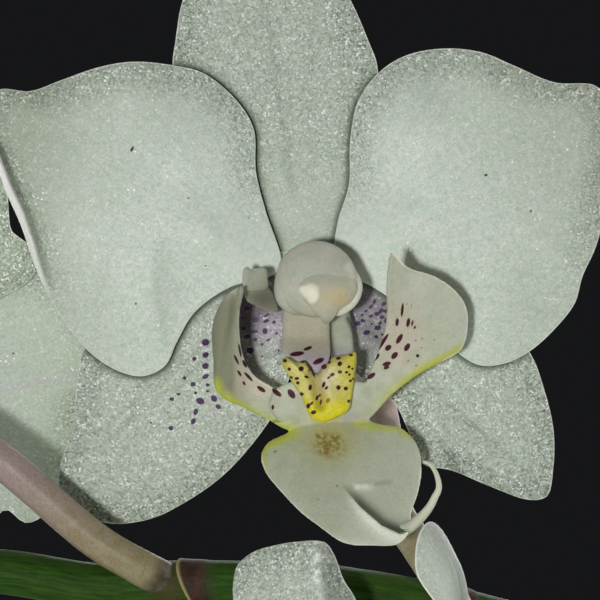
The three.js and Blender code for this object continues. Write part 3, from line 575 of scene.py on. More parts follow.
# %% Outlines of the tepals
TEPALS = {
    "dorsal_sepal": {"middle": (-2.5, 15), "points": (
        (0, 1.3), (-2.6, 1.6), (-4.8, 5), (-7.4, 8.6), (-9.5, 12.7), (-10.8, 16.1), (-10.6, 18.5),
        (-10, 21.8), (-8.5, 24.6), (-6.1, 26.6), (-3.7, 27.4), (-1, 26.6), (1.4, 24.7), (3.4, 21.8),
        (4.9, 18.4), (5.6, 16.4), (5.6, 12.9), (4.9, 8.9), (3.9, 5), (2.4, 1.6),
    )},
    "lateral_sepal_left": {"middle": (-9.5, -9.5), "points": (
        (-1.5, -1.5), (-3.7, 0.2), (-7.5, 0.2), (-11.9, -2), (-15.9, -4), (-18, -6.4),
        (-18.6, -9.6), (-18.9, -12.9), (-19.8, -15.4), (-20, -17.5), (-18.4, -19.5), (-15.9, -20.4),
        (-12.6, -20), (-9.9, -18.7), (-6.9, -16.6), (-4.3, -13.8), (-2.2, -10.6), (-0.9, -6.6),
        (-0.4, -3.2),
    )},
    "lateral_sepal_right": {"middle": (11, -8.5), "points": (
        (1.5, -1.5), (3.7, 0.2), (8.2, 0.2), (12.6, -2.2), (16.1, -4.8), (17.9, -6.7), (19, -9.5),
        (19.8, -12.9), (19.8, -15.8), (19.3, -18.2), (17.9, -18.5), (14.7, -17.4), (11.6, -16.1),
        (9.2, -15.5), (8, -12.7), (6.9, -10.6), (4.2, -8.6), (1.9, -6), (0.6, -3.2),
    )},
    "petal_left": {"middle": (-13.5, 5), "points": (
        (-2.1, 0.7), (-3.3, 4.6), (-4.1, 7.8), (-4.3, 11.3), (-5.7, 13.6), (-8.4, 15.8),
        (-11, 16.4), (-13.9, 16.6), (-16.6, 16.2), (-19.6, 15.2), (-22.2, 14.3), (-24.7, 14.4),
        (-25.9, 12.9), (-25.3, 10.3), (-24.2, 6.7), (-22.8, 3.5), (-21.7, 0.3), (-20.5, -2.4),
        (-19, -4.8), (-17.2, -6.8), (-15.1, -8.1), (-13.2, -8.5), (-11.4, -7.7), (-10.4, -5.7),
        (-9, -3.4), (-6.2, -1.4), (-2.6, -0.3),
    )},
    "petal_right": {"middle": (13, 6), "points": (
        (2.1, 0.7), (2.4, 3.8), (3.3, 6.8), (3.4, 10.3), (4, 13.4), (5.6, 15.7), (7.7, 17.1),
        (10.5, 17.7), (13.7, 17.4), (16.5, 16.3), (19.7, 15), (23.1, 14.7), (24.3, 12.9),
        (24.4, 9.6), (23.9, 5.6), (23, 1.9), (21.9, -0.6), (21.4, -2.6), (20.1, -4.4), (17.8, -6.5),
        (15.7, -7.5), (13.7, -7.6), (11.7, -6.4), (8.9, -4), (4.9, -1.2), (2.6, -0.3),
    )},
}


def reshaped(name, first, last, points):
    """A tepal's outline with its points from first up to last exchanged for others."""
    outline = TEPALS[name]
    kept = outline["points"]
    return {**outline, "points": kept[:first] + points + kept[last:]}


OWN_OUTLINES = {
    (2, "dorsal_sepal"): reshaped("dorsal_sepal", 4, 14, (
        (-9.8, 12.7), (-11.8, 15.6), (-12, 16.7), (-11.6, 17.6), (-10.8, 18.5), (-9.6, 18.8),
        (-8.5, 19.1), (-7.7, 20.2), (-6.9, 21.6), (-5.8, 23), (-4.3, 24.3), (-2.6, 25.4),
        (-0.8, 25.7), (1.4, 24.4), (3.4, 21.6),
    )),
    (2, "petal_left"): reshaped("petal_left", 4, 20, (
        (-5.7, 13.9), (-8.4, 15.6), (-10.5, 16.4), (-13.1, 17.2), (-16.2, 16.8), (-19.6, 15.2),
        (-22.2, 14.3), (-24.3, 13.9), (-24.7, 12.6), (-23.2, 10.8), (-22.1, 9.0), (-22.2, 6.8),
        (-22.9, 4.6), (-23.1, 2.4), (-22.4, -0.6), (-22, -2.8), (-20.6, -4.0), (-18.6, -3.6),
        (-17.2, -6.3),
    )),
    (3, "dorsal_sepal"): reshaped("dorsal_sepal", 4, 13, (
        (-9.3, 12.7), (-9.9, 16.1), (-9.3, 18.2), (-9.1, 19.8), (-9.7, 21.1), (-10.1, 22.7),
        (-9.2, 24.3), (-7.5, 25.6), (-5.4, 26.8), (-3.3, 27.6), (-2.0, 27), (-0.4, 25.6),
        (1.3, 24.6),
    )),
    (4, "dorsal_sepal"): reshaped("dorsal_sepal", 3, 10, (
        (-6.9, 8.6), (-8.3, 12.7), (-8.7, 16.1), (-8.5, 18.5), (-8.2, 21.8), (-7.6, 24.6),
        (-5.9, 26.7),
    )),
}
print("outlines:", len(TEPALS), "shared,", len(OWN_OUTLINES), "of one bloom's own")

# %% Spots of the tepals
# Each spot is (across, up, half length, half width, turn): millimetres, and degrees for the turn.
LEFT_SEPAL_SPOTS = (
    (-8.17, -5.79, 0.24, 0.21, 0), (-8.17, -6.80, 0.21, 0.17, 20),
    (-8.17, -7.69, 0.21, 0.19, 0), (-9.07, -7.12, 0.15, 0.13, 0),
    (-8.17, -8.53, 0.22, 0.14, 30), (-8.00, -9.20, 0.13, 0.11, 0),
    (-9.18, -9.15, 0.18, 0.14, 0), (-8.00, -9.71, 0.10, 0.08, 0),
    (-8.96, -9.85, 0.10, 0.10, 0), (-8.59, -10.50, 0.26, 0.20, -20),
    (-7.49, -10.30, 0.21, 0.17, -50), (-7.15, -10.95, 0.18, 0.14, -30),
    (-8.96, -11.36, 0.20, 0.14, 70), (-9.15, -12.12, 0.21, 0.14, 60),
    (-9.84, -8.66, 0.13, 0.10, 0), (-10.88, -10.35, 0.15, 0.13, 0),
    (-10.96, -12.68, 0.17, 0.14, 0), (-10.32, -9.95, 0.13, 0.10, 0),
    (-9.92, -11.15, 0.10, 0.09, 0), (-4.87, -3.07, 0.16, 0.14, 0),
    (-4.19, -3.97, 0.23, 0.17, 10), (-3.31, -4.08, 0.19, 0.11, 20),
    (-2.67, -4.17, 0.11, 0.10, 0), (-2.47, -3.25, 0.12, 0.09, 0),
    (-3.27, -3.63, 0.20, 0.07, 30), (-5.12, -4.67, 0.14, 0.11, 0),
    (-4.25, -4.93, 0.24, 0.11, 0), (-3.40, -4.89, 0.16, 0.19, 0),
    (-4.83, -5.32, 0.20, 0.11, 0), (-4.19, -5.57, 0.13, 0.12, 0),
    (-3.15, -5.60, 0.14, 0.07, 30), (-3.64, -5.94, 0.10, 0.08, 0),
    (-4.57, -6.42, 0.23, 0.19, 0), (-3.64, -6.92, 0.09, 0.07, 0),
    (-2.47, -5.07, 0.09, 0.09, 0), (-2.30, -6.45, 0.14, 0.06, 90),
    (-2.25, -7.09, 0.08, 0.06, 0), (-2.75, -6.92, 0.06, 0.05, 0),
    (-5.18, -3.85, 0.11, 0.08, 0),
)
RIGHT_SEPAL_SPOTS = (
    (5.36, -2.53, 0.19, 0.10, 60), (6.12, -2.70, 0.18, 0.12, 30),
    (5.07, -2.95, 0.18, 0.10, 40), (5.87, -3.25, 0.22, 0.11, 45),
    (6.28, -3.28, 0.16, 0.10, 60), (5.53, -3.49, 0.19, 0.11, 30),
    (5.07, -3.69, 0.18, 0.10, 20), (5.91, -3.73, 0.16, 0.10, 40),
    (6.23, -3.99, 0.18, 0.09, 50), (5.85, -4.25, 0.15, 0.10, 30),
    (4.01, -4.27, 0.18, 0.14, 20), (4.43, -4.05, 0.15, 0.11, 0),
    (5.62, -4.63, 0.22, 0.14, 20), (4.73, -5.01, 0.23, 0.14, 20),
    (5.50, -5.35, 0.14, 0.11, 0), (6.02, -5.18, 0.15, 0.10, 40),
    (6.36, -4.49, 0.15, 0.09, 60), (4.70, -3.28, 0.16, 0.08, 30),
    (4.38, -3.60, 0.13, 0.08, 20), (6.55, -3.60, 0.13, 0.08, 60),
    (5.18, -4.33, 0.10, 0.07, 0),
)
SPOTS = {"lateral_sepal_left": LEFT_SEPAL_SPOTS, "lateral_sepal_right": RIGHT_SEPAL_SPOTS}
SPECKS = {
    "petal_left": (
        (-13.95, 9.60, 0.24, 0.10, 60), (-9.45, 5.72, 0.12, 0.08, 10),
        (-13.63, -2.64, 0.14, 0.12, 0), (-8.15, 0.30, 0.11, 0.08, 20),
        (-9.90, 0.78, 0.08, 0.07, 0), (-4.73, 4.12, 0.08, 0.07, 0),
    ),
    "petal_right": ((14.18, 7.53, 0.13, 0.10, 20), (17.76, 4.67, 0.13, 0.10, 20)),
    "lateral_sepal_left": ((-12.55, -12.2, 0.18, 0.06, 85),),
}
print("spots:", sum(len(spots) for spots in SPOTS.values()))

# %% Heights of the tepals
BLOOM_REACH = 26
LEFT_ROLL = (
    (-24.96, 10.34), (-24.48, 9.38), (-23.45, 6.83), (-22.41, 4.68), (-21.53, 2.14),
    (-20.82, -0.41), (-20.10, -2.40),
)
TIP_FOLD = ((-1.2, 23.6), (-2.5, 24.9), (-2.9, 25.8), (-3.5, 27.2))


def beyond_roll(x, y):
    """Distance past the crease of the left petal's rolled margin, and the share along it."""
    near, along, side = line_distance(x, y, LEFT_ROLL)
    return -side * near, along


def petal_height(at):
    """A bulge of a half sine over the reach, with ripples that grow towards the margin.

    Where the margin lies over a sepal it sinks, over its last 7 mm, until it rests there.
    """
    reach = np.hypot(at["x"], at["y"]) / BLOOM_REACH
    ripple = 0.45 * reach**2 * np.sin(7 * np.arctan2(at["y"], at["x"]))
    bulge = 0.5 + 1.3 * np.sin(np.pi * np.minimum(1, reach)) + ripple
    inner = smoothstep(np.abs(at["rim_x"]), 15, 9)
    lower = smoothstep(at["rim_y"], 0, -5)
    resting = np.maximum(inner, lower) * smoothstep(at["edge"], 7, 0)
    return bulge + (sepal_height(at) + 1.2 - bulge) * resting


def rolled_petal_height(at):
    """The left petal: its outer margin rolls forward behind a crease."""
    outside, along = beyond_roll(at["x"], at["y"])
    held = smoothstep(np.abs(outside), 1.6, 0.8) * (1 - 0.5 * along) * smoothstep(along, 1, 0.8)
    roll = 0.6 * smoothstep(outside, -0.05, 0.3) - 0.45 * bump(outside, -0.12, 0.3)
    return petal_height(at) + held * roll


def sepal_height(at):
    """Just behind the petals at the claw, and curled back with the square of the reach."""
    reach = np.hypot(at["x"], at["y"]) / BLOOM_REACH
    return -0.35 - 1.9 * reach**2


def keeled(angle_degrees):
    """The sepal's height with a soft groove down the line that leaves the claw at that angle."""
    turn = np.radians(angle_degrees)

    def height(at):
        across = at["y"] * np.cos(turn) - at["x"] * np.sin(turn)
        along = at["x"] * np.cos(turn) + at["y"] * np.sin(turn)
        groove = 0.22 * bump(across, 0, 0.5) * smoothstep(along, 5, 8) * smoothstep(at["edge"], 0, 6)
        return sepal_height(at) - groove + 0.25 * smoothstep(at["edge"], 2.5, 0)

    return height


HEIGHTS = {
    "dorsal_sepal": keeled(98),
    "lateral_sepal_left": keeled(-141),
    "lateral_sepal_right": keeled(-42),
    "petal_left": petal_height,
    "petal_right": petal_height,
}


def folded_back(at):
    """The third bloom's top sepal: right of a crease its tip turns back."""
    near, _, side = line_distance(at["x"], at["y"], TIP_FOLD)
    turned_back = smoothstep(side * near, 0, -0.25) * smoothstep(at["y"], 22, 24.5)
    return HEIGHTS["dorsal_sepal"](at) - 0.35 * turned_back


def bowed(at):
    """The fourth bloom's top sepal: bowed back, with its tip forward and its margins curled."""
    bow = 1.0 * bump(at["y"], 23, 3.5) - 2.3 * bump(at["y"], 17, 7.5)
    curl = 0.07 * (at["x"] + 2.4) ** 2 * smoothstep(at["y"], 19.5, 25)
    return HEIGHTS["dorsal_sepal"](at) + bow - curl


OWN_HEIGHTS = {
    (1, "petal_left"): rolled_petal_height,
    (3, "dorsal_sepal"): folded_back,
    (4, "dorsal_sepal"): bowed,
}
print(f"a sepal's tip lies at {sepal_height({'x': 0, 'y': BLOOM_REACH}):.2f} mm")

# %% [markdown]
# ## The tepal finish
# White tissue is never flat white. Clouds of green and pink, fine veins and a warmer claw are laid
# one over the other, then painted shade that darkens the tissue away from the claw, painted
# shadows by the lip and under the petals' rims, painted highlights along the edges and bright
# cells painted as glints; the spots go on last. The bump makes each cell a small dome, so the
# highlights break up as on the flower.

# %% Material: tepal
VEINS = {"Count": 24.0, "Wander": 0.06}


def tepal_colour(tree):
    grain = mark(tree, "grain")
    streak = times(tree, use(tree, veins, **VEINS)["Vein"], fade(tree, grain, 0.0, 1.0, 0.07, 0.36))
    cell = use(tree, sparkle, Cell_mm=0.13, Amount=grain)
    return paint(
        tree, cloudy(tree, 0.45, (0.60, 0.715, 0.59), (0.73, 0.765, 0.71)),
        # Painted shade: darker tissue away from the claw, on the sepals and on the second bloom.
        ("deep", 1, (0.42, 0.48, 0.37)),
        (streak, 1, (0.36, 0.41, 0.34)),
        ("blush", (0.0, 1.0, 0.75), (0.52, 0.44, 0.58)),
        # Painted shade by the lip, tinged purple.
        ("lip_shade", 0.85, (0.08, 0.05, 0.07)),
        (cell["Dull"], 1, (0.06, 0.08, 0.06)),
        # Painted highlight: the glints of single cells, laid in as white.
        (cell["Shine"], 1, (1.0, 1.0, 1.0)),
        # Painted highlight on the rolled margin and along the third bloom's fold.
        ("roll", 1, (1.0, 1.0, 0.96)),
        # Painted shadow: folds, contact lines under the petals, and a side turned from the light.
        ("crease", 1, (0.06, 0.08, 0.05)),
        # Painted highlight: a thin light line along every edge.
        ("edge", (0.13, 0.04, 0.5), (0.90, 0.95, 0.88)),
        ("speck", (-0.3, 0.0, 1.0), (0.02, 0.015, 0.015)),
        ("spots", (-0.5, -0.2, 1.0), (0.045, 0.008, 0.075)))


def tepal_relief(tree):
    grain = mark(tree, "grain")
    cell = use(tree, sparkle, Cell_mm=0.13, Amount=grain)
    lumps = times(tree, noise(tree, 1.1), times(tree, grain, 4.0))
    vein = use(tree, veins, **VEINS)["Vein"]
    return calc(tree, "SUBTRACT", calc(tree, "ADD", cell["Height"], lumps), times(tree, vein, 0.3))


tepal = material(
    "white sparkling tepal", tepal_colour, 0.5, tepal_relief, 0.035,
    Subsurface_Weight=0.08, Subsurface_Scale=0.00025, Specular_IOR_Level=0.35)
print("material:", tepal.name)

# %% Marks of the tepals
PINK_VEIN = ((-12, 4.6), (-14.4, 6.2), (-20.4, 10.3))
# Painted shade by the lip on each lower sepal: place across and up, size and strength.
LIP_SHADES = {"lateral_sepal_left": (-4.6, -2.6, 1.6, 0.9), "lateral_sepal_right": (4.4, -2.3, 2.2, 1.1)}


def lip_shade_at(name, number, x, y):
    """Painted shade by the lip, tinged purple; on the first bloom also the side lobe's and hood's
    shadow.
    """
    across, up, size, depth = LIP_SHADES[name]
    lip_shade = depth * bump(np.hypot(x - across, y - up), 0, size)
    if number == 1:
        near_lip = smoothstep(np.abs(x), 7.0, 6.2)
        under_lobe = smoothstep(np.abs(x), 2.8, 4.6) * near_lip * smoothstep(y, -10.5, -9)
        behind_hood = 0.6 * smoothstep(y, -4.6, -3.0) * near_lip
        lip_shade += 0.9 * np.maximum(under_lobe, behind_hood)
    return np.minimum(lip_shade, 1.1) * (1 - 0.35 * (x > 0))


def under_petals(x, y):
    """The painted shadow line where a petal's rim lies on a sepal, and the painted shade beside it."""
    line, shade = 0 * x, 0 * x
    for petal, strength in (("petal_left", 1.0), ("petal_right", 0.85)):
        rim = smooth_curve(TEPALS[petal]["points"], np.linspace(0, 1, 120), closed=True)
        near = line_distance(x, y, rim)[0]
        line = np.maximum(line, strength * bump(near, 0.06, 0.28))
        shade += 0.5 * strength * smoothstep(near, 1.2, 0)
    return line, shade


def tepal_marks(name, number, aim, edge, face, x, y):
    """What the finish reads at each point.

    Reach and angle are measured from the claw. Spots, speck and blush colour the tissue; by the
    lip lies a painted shade, tinged purple. Grain sets how much the cells sparkle, with painted
    glints, and a painted shade darkens the tissue away from the claw. Roll is a painted highlight on
    a bright margin or fold, and crease a painted shadow along a fold or a line of contact; the shade
    by the lip and the crease are on the front alone.
    """
    reach, blank = np.hypot(x, y), 0 * x
    margin = smoothstep(edge, 3.5, 0.2)
    marks = {
        "reach": reach,
        "angle": (np.arctan2(y, x) - aim + np.pi) % (2 * np.pi) - np.pi,
        "spots": spot_field(x, y, SPOTS.get(name)),
        "speck": spot_field(x, y, SPECKS.get(name)),
        "blush": smoothstep(reach, 9.5, 4) if name in SPOTS else blank,
        "lip_shade": lip_shade_at(name, number, x, y) if name in LIP_SHADES else blank,
        "roll": blank,
        "crease": blank,
    }
    if "petal" in name:
        marks["grain"] = (0.25 + 0.6 * margin * smoothstep(y, -6, 8)) * smoothstep(reach, 1, 12)
        # Painted shade: darker with the reach and at the upper margin, so the claw reads brighter, and
        # darker still at the left petal's outer edge.
        marks["deep"] = 0.55 * smoothstep(reach, 9, 26) + 0.2 * margin * smoothstep(y, 0, 9)
        marks["deep"] += 0.35 * smoothstep(-x, 17, 23)
    else:
        start = 13 if name == "dorsal_sepal" else 4.5
        marks["grain"] = (0.6 + 0.4 * margin) * (0.2 + 0.8 * smoothstep(reach, 1, start))
        marks["grain"] *= 1 - 0.6 * np.minimum(marks["lip_shade"], 1)
        # Painted shade: the sepals are darker all over, a little more at the margin.
        marks["deep"] = 0.45 + 0.1 * margin
    # Painted shadow: a dark line where a petal's rim lies on a sepal, and painted shade beside it.
    if number == 1 and "sepal" in name:
        marks["crease"], shade = under_petals(x, y)
        marks["deep"] += shade
    # Painted shade: the second bloom is darker all over.
    if number == 2:
        marks["deep"] += 0.3
    if (number, name) == (2, "petal_left"):
        marks["blush"] = 0.16 + 0.3 * bump(line_distance(x, y, PINK_VEIN)[0], 0, 0.35)
    if (number, name) == (3, "dorsal_sepal"):
        # Painted shadow on the side that turns back past the fold, and a painted highlight along it.
        near, _, side = line_distance(x, y, TIP_FOLD)
        marks["crease"] = 0.42 * smoothstep(side * near, 0.02, -0.12) * smoothstep(y, 21.5, 23.5)
        marks["roll"] = 0.8 * bump(side * near, 0.05, 0.16) * smoothstep(y, 21.5, 23.5)
    if (number, name) == (4, "dorsal_sepal"):
        # Painted shade on the right side of the fourth bloom's top sepal, which turns away from the
        # light.
        marks["crease"] = 0.42 * smoothstep(x, -7.0, -3.8)
        marks["grain"] = marks["grain"] * 0.3
    for front_only in ("crease", "lip_shade"):
        marks[front_only] = marks[front_only] * (face > -0.5)
    if (number, name) == (1, "petal_left"):
        # Painted highlight on the rolled margin, and a painted shadow in the crease behind it.
        outside, along = beyond_roll(x, y)
        held = (1 - 0.6 * along) * smoothstep(along, 1, 0.85) * (edge < 2.5)
        marks["roll"] = held * smoothstep(outside, 0.0, 0.2)
        marks["crease"] = 0.85 * held * bump(outside, -0.14, 0.16)
    return marks


print("marks of a tepal:", *tepal_marks("petal_left", 1, 0, *np.zeros((4, 1))))


# %% Make the twenty tepals
FINE = {"around": 224, "rings": 60, "voxel": 0.11}
FAR = {"around": 128, "rings": 26, "voxel": 0.24}
DETAIL = (FINE, FAR, FAR, FAR)
TEPAL_THICKNESS = 0.7


def tepal_depth(at):
    """The full thickness inside, and half of it at the margin."""
    return TEPAL_THICKNESS * (0.5 + 0.5 * smoothstep(at["edge"], 0, 3.5))


def tepal_shape(name, number, detail):
    """The blade of one tepal with its marks; a lower sepal's points crowd by the claw for its spots."""
    outline = OWN_OUTLINES.get((number, name), TEPALS[name])
    height_at = OWN_HEIGHTS.get((number, name), HEIGHTS[name])
    count = detail["around"]
    steps = np.arange(count) / count
    if name.startswith("lateral"):
        steps = steps - 0.11 * np.sin(2 * np.pi * steps) * np.cos(np.pi * steps) ** 2
    shape = blade(outline, height_at, tepal_depth, count, detail["rings"], places=steps)
    aim = np.arctan2(outline["middle"][1], outline["middle"][0])
    edge, face = shape["marks"]["edge"], shape["marks"]["face"]
    x, y, _ = shape["points"].T
    shape["marks"].update(tepal_marks(name, number, aim, edge, face, x, y))
    return shape


for number, (bloom, detail) in enumerate(zip(BLOOMS, DETAIL), 1):
    for name in TEPALS:
        shape = placed(tepal_shape(name, number, detail), bloom)
        piece(f"bloom_{number}_{name}_tissue", shape, tepal, [f"bloom_{number}_{name}"])

# %% [markdown]
# ## The lip
# The lip is the landing place for insects. Two side lobes stand up left and right of the yellow
# callus, and the middle lobe hangs down with a fold and a curling thread at its tip. On the plant
# it is one organ, so its blades are melted into one skin. Its markings are then measured in the
# bloom's plane: maroon dashes, yellow margins, an olive throat.

# %% Outlines and lines of the lip
LOBE_LEFT = {"middle": (-6.1, -7.4), "points": (
    (-5, -1.3), (-6.1, -1.8), (-7, -3), (-7.5, -4.7), (-7.4, -7.1), (-7.3, -9.3), (-6.4, -10.3),
    (-5.1, -10.9), (-3.1, -11.9), (-1.2, -12.7), (-0.7, -11.6), (-2.3, -9.6), (-4.2, -8.3),
    (-5, -6.9), (-5.3, -5.1), (-5.3, -3.3),
)}
LOBE_RIGHT = {"middle": (8.5, -5.2), "points": (
    (6.5, 1.4), (7.7, 0.2), (9.8, -0.5), (11.4, -1.5), (12.4, -2.8), (12.6, -4.6), (12.1, -6.3),
    (10.7, -7.2), (8.8, -8.2), (6.8, -9.7), (4.4, -12), (4.1, -10.9), (4.6, -8.7), (5.5, -6.4),
    (6.1, -4), (6.1, -0.8),
)}
MIDLOBE = {"middle": (2.6, -15.2), "points": (
    (-1.2, -12.5), (-3.2, -13.7), (-3.7, -14.7), (-3.3, -16), (-2.1, -17.4), (-0.6, -18.9),
    (0.9, -20), (2.8, -21.2), (4.9, -21.4), (7, -21.3), (8, -20.2), (8.1, -19.1), (8.7, -17.4),
    (9, -15.6), (8.7, -13.9), (7.4, -12.5), (5.4, -12.1), (3.9, -11.3), (2.6, -9.9), (0.8, -9.4),
    (-0.5, -10.3), (-1.2, -11.4),
)}
HUB = {"middle": (1.7, -11.1), "points": (
    (-3, -10.8), (-2.4, -9.3), (-0.6, -8.7), (0.8, -8.9), (2.8, -8.7), (4.7, -9), (5.4, -10.6),
    (4.2, -12.5), (1.6, -13.2), (-1, -12.9),
)}
LOBE_EAR = {"middle": (-4.1, -0.9), "points": (
    (-5.05, 0.1), (-4.85, 0.25), (-4.6, 0.2), (-4.4, -0.12), (-4.2, 0.1), (-3.7, 0.15),
    (-3.2, 0.05), (-3.1, -0.7), (-3.1, -1.5), (-4.0, -1.7), (-5.0, -1.6),
)}
LOBE_THROAT = {"middle": (-3.7, -2.3), "points": (
    (-5.1, -1.5), (-4.2, -1.3), (-3.1, -1.4), (-2.5, -2.4), (-2.3, -3.4), (-3.3, -3.3),
    (-4.1, -2.9), (-4.8, -2.5),
)}
CLAW_ROUTE = ((2.5, -3.6, 1.6), (2.6, -4.6, 2.4), (2.7, -5.8, 3.0), (2.8, -7.4, 3.8))
THREAD_ROUTE = (
    (5.2, -20.6, 7.4), (6.8, -20.5, 7.8), (7.8, -20.1, 8.4), (8.7, -19.3, 9.5), (9.4, -18.4, 10.4),
    (9.8, -17.6, 10.8), (10.1, -16.9, 11.0), (10.0, -16.1, 11.0), (9.7, -15.4, 10.8),
    (9.3, -15.0, 10.6), (8.9, -14.9, 10.5),
)
LEFT_FOLD = (
    (-5.45, -2.40), (-5.56, -3.50), (-6.08, -4.98), (-6.39, -6.86), (-6.55, -8.35), (-6.94, -9.13),
)
MID_RIDGE = (
    (2.35, -16.71), (2.90, -17.17), (4.22, -18.57), (5.70, -19.82), (7.18, -20.52), (8.11, -20.21),
)
MID_CREASE = ((3.95, -16.85), (4.8, -16.78), (6.4, -16.64))
print("middle lobe:", len(MIDLOBE["points"]), "outline points")

# %% Heights of the lip's blades
LOBE_SLOPE = 0.42
LIP_FOOT = 4.4


def left_lobe_height(at):
    """A slope up from its foot that bends back past an edge line, with a soft fold."""
    x, y = at["x"], at["y"]
    near, _, side = line_distance(x, y, LEFT_FOLD)
    flank = 0.3 * smoothstep(side * near, 0.9, -0.6) - 0.9 * smoothstep(x, -6.4, -4.6) * (y > -12)
    fold = -0.3 * bump(near, 0, 0.4)
    slope = LIP_FOOT + LOBE_SLOPE * (y + 12.6)
    return slope - 0.3 * np.minimum(0, x + 5.8) ** 2 + fold + flank


def right_lobe_height(at):
    """A slope up from its foot that bends back past an edge line, cupped towards its middle."""
    x, y = at["x"], at["y"]
    cup = -0.25 * bump(x - y, 13.5, 3) + 0.2 * smoothstep(at["edge"], 1.2, 0)
    return LIP_FOOT + LOBE_SLOPE * (y + 12.2) - 0.062 * np.maximum(0, x - 6.5) ** 2 + cup


def midlobe_height(at):
    """Forward from a hinge line and hollow along the middle, with one margin folded up.

    The fold is a ridge that rises gently on its lower left side and drops at once on the other.
    """
    x, y = at["x"], at["y"]
    near, along, side = line_distance(x, y, MID_RIDGE)
    grown = smoothstep(along, 0.0, 0.45)
    drop = 2.2 * np.exp(-near / 0.2) - 1.2 * np.exp(-near / 1.0)
    ridge = np.where(side > 0, drop, 1.0 * np.exp(-near / 1.5))
    crease = 0.3 * bump(line_distance(x, y, MID_CREASE[:2])[0], 0, 0.22)
    plain = LIP_FOOT + 0.6 * np.maximum(0, -11.6 - y) - 0.04 * (x - 2.6) ** 2
    return plain + grown * ridge + crease


low_end = {"x": np.array([2.6]), "y": np.array([-21.0])}
print(f"the middle lobe comes forward to {midlobe_height(low_end)[0]:.1f} mm")

# %% Dashes and margins of the lip
RIGHT_LOBE_DASHES = (
    (7.35, -3.18, 0.47, 0.09, 85), (6.96, -4.13, 0.27, 0.11, 85),
    (7.83, -4.16, 0.30, 0.12, 80), (8.16, -4.19, 0.22, 0.06, 80),
    (8.35, -4.54, 0.12, 0.07, 70), (7.16, -5.43, 0.36, 0.15, 60),
    (5.84, -5.72, 0.70, 0.12, 57), (6.29, -6.13, 0.23, 0.17, 40),
    (7.77, -6.09, 0.28, 0.16, 60), (6.79, -6.74, 0.27, 0.17, 50),
    (5.27, -6.91, 0.36, 0.16, 40), (6.18, -7.40, 0.28, 0.14, 15),
    (6.17, -7.69, 0.20, 0.11, 20), (4.98, -8.35, 0.31, 0.15, 35),
    (4.37, -8.14, 0.70, 0.09, 42), (8.60, -6.76, 0.12, 0.11, 0),
)
RIGHT_LOBE_FAINT = (
    (7.70, -2.71, 0.16, 0.07, 75), (8.06, -2.88, 0.20, 0.06, 80),
    (7.86, -7.16, 0.12, 0.09, 30), (8.50, -7.53, 0.15, 0.09, 20),
    (8.44, -5.56, 0.12, 0.09, 40), (8.93, -5.43, 0.12, 0.09, 40),
    (8.91, -6.13, 0.11, 0.09, 0), (9.90, -5.50, 0.10, 0.09, 0),
)
LEFT_LOBE_DASHES = (
    (-5.30, -6.35, 0.47, 0.07, -80), (-5.57, -7.07, 0.39, 0.08, -65),
    (-4.94, -7.40, 0.28, 0.10, -65), (-5.35, -8.14, 0.25, 0.08, -60),
    (-4.64, -8.42, 0.42, 0.10, -47), (-4.99, -8.94, 0.17, 0.08, -60),
    (-3.64, -9.41, 0.33, 0.14, -35), (-2.43, -9.67, 0.38, 0.16, -38),
    (-1.27, -9.76, 0.35, 0.20, -55), (-2.74, -10.83, 0.17, 0.09, 90),
)
LEFT_YELLOW = (
    (-7.37, -9.01), (-6.97, -9.95), (-5.56, -10.90), (-3.59, -11.92), (-3.27, -12.12),
    (-2.09, -12.47), (-1.15, -12.75),
)
RIGHT_YELLOW = (
    (12.37, -6.46), (11.98, -6.62), (11.04, -7.17), (9.17, -8.10), (7.26, -9.35), (5.34, -10.68),
    (3.78, -11.85),
)
MID_YELLOW_LEFT = (
    (-3.58, -15.72), (-3.66, -14.86), (-3.58, -14.23), (-3.19, -13.84), (-2.52, -13.53),
    (-1.54, -13.13), (-1.07, -12.74),
)
MID_YELLOW_RIGHT = ((3.88, -12.14), (5.06, -12.38), (7.10, -12.46), (7.88, -13.08))
BROWN = (
    (1.05, -13.14, 0.47, 0.31, 10), (2.15, -13.26, 0.39, 0.31, 30),
    (1.37, -14.28, 0.47, 0.24, 0), (1.68, -13.81, 0.94, 0.71, 0),
)
MID_DOTS = (
    (2.28, -16.88, 0.12, 0.11, 0), (0.80, -17.90, 0.09, 0.08, 0),
    (-0.76, -17.97, 0.09, 0.08, 0), (-2.55, -14.31, 0.16, 0.11, 30),
)
RIMS = (LOBE_RIGHT["points"][:8], LOBE_LEFT["points"][11:], MIDLOBE["points"][2:14])
PEG_LEFT = ((1.75, -3.9), (1.75, -5.2), (1.95, -6.4), (2.1, -7.2))
PEG_RIGHT = ((3.2, -3.9), (3.75, -5.0), (3.9, -6.2), (3.95, -7.2))
print("dashes:", len(RIGHT_LOBE_DASHES + LEFT_LOBE_DASHES))


# %% Melt the lip, and its marks
def band(x, y, line, width):
    """1 on a bent line, falling to 0 at that width from it."""
    return np.clip(1 - line_distance(x, y, line)[0] / width, 0, 1)


def patch(x, y, across, up, size, tall=1):
    """A bell of height 1 about a place, and taller than it is wide by that factor."""
    return bump(np.hypot(x - across, (y - up) / tall), 0, size)


def halved(detail):
    """Half as many points for a blade that is small."""
    return {"around": detail["around"] // 2, "rings": detail["rings"] // 2}


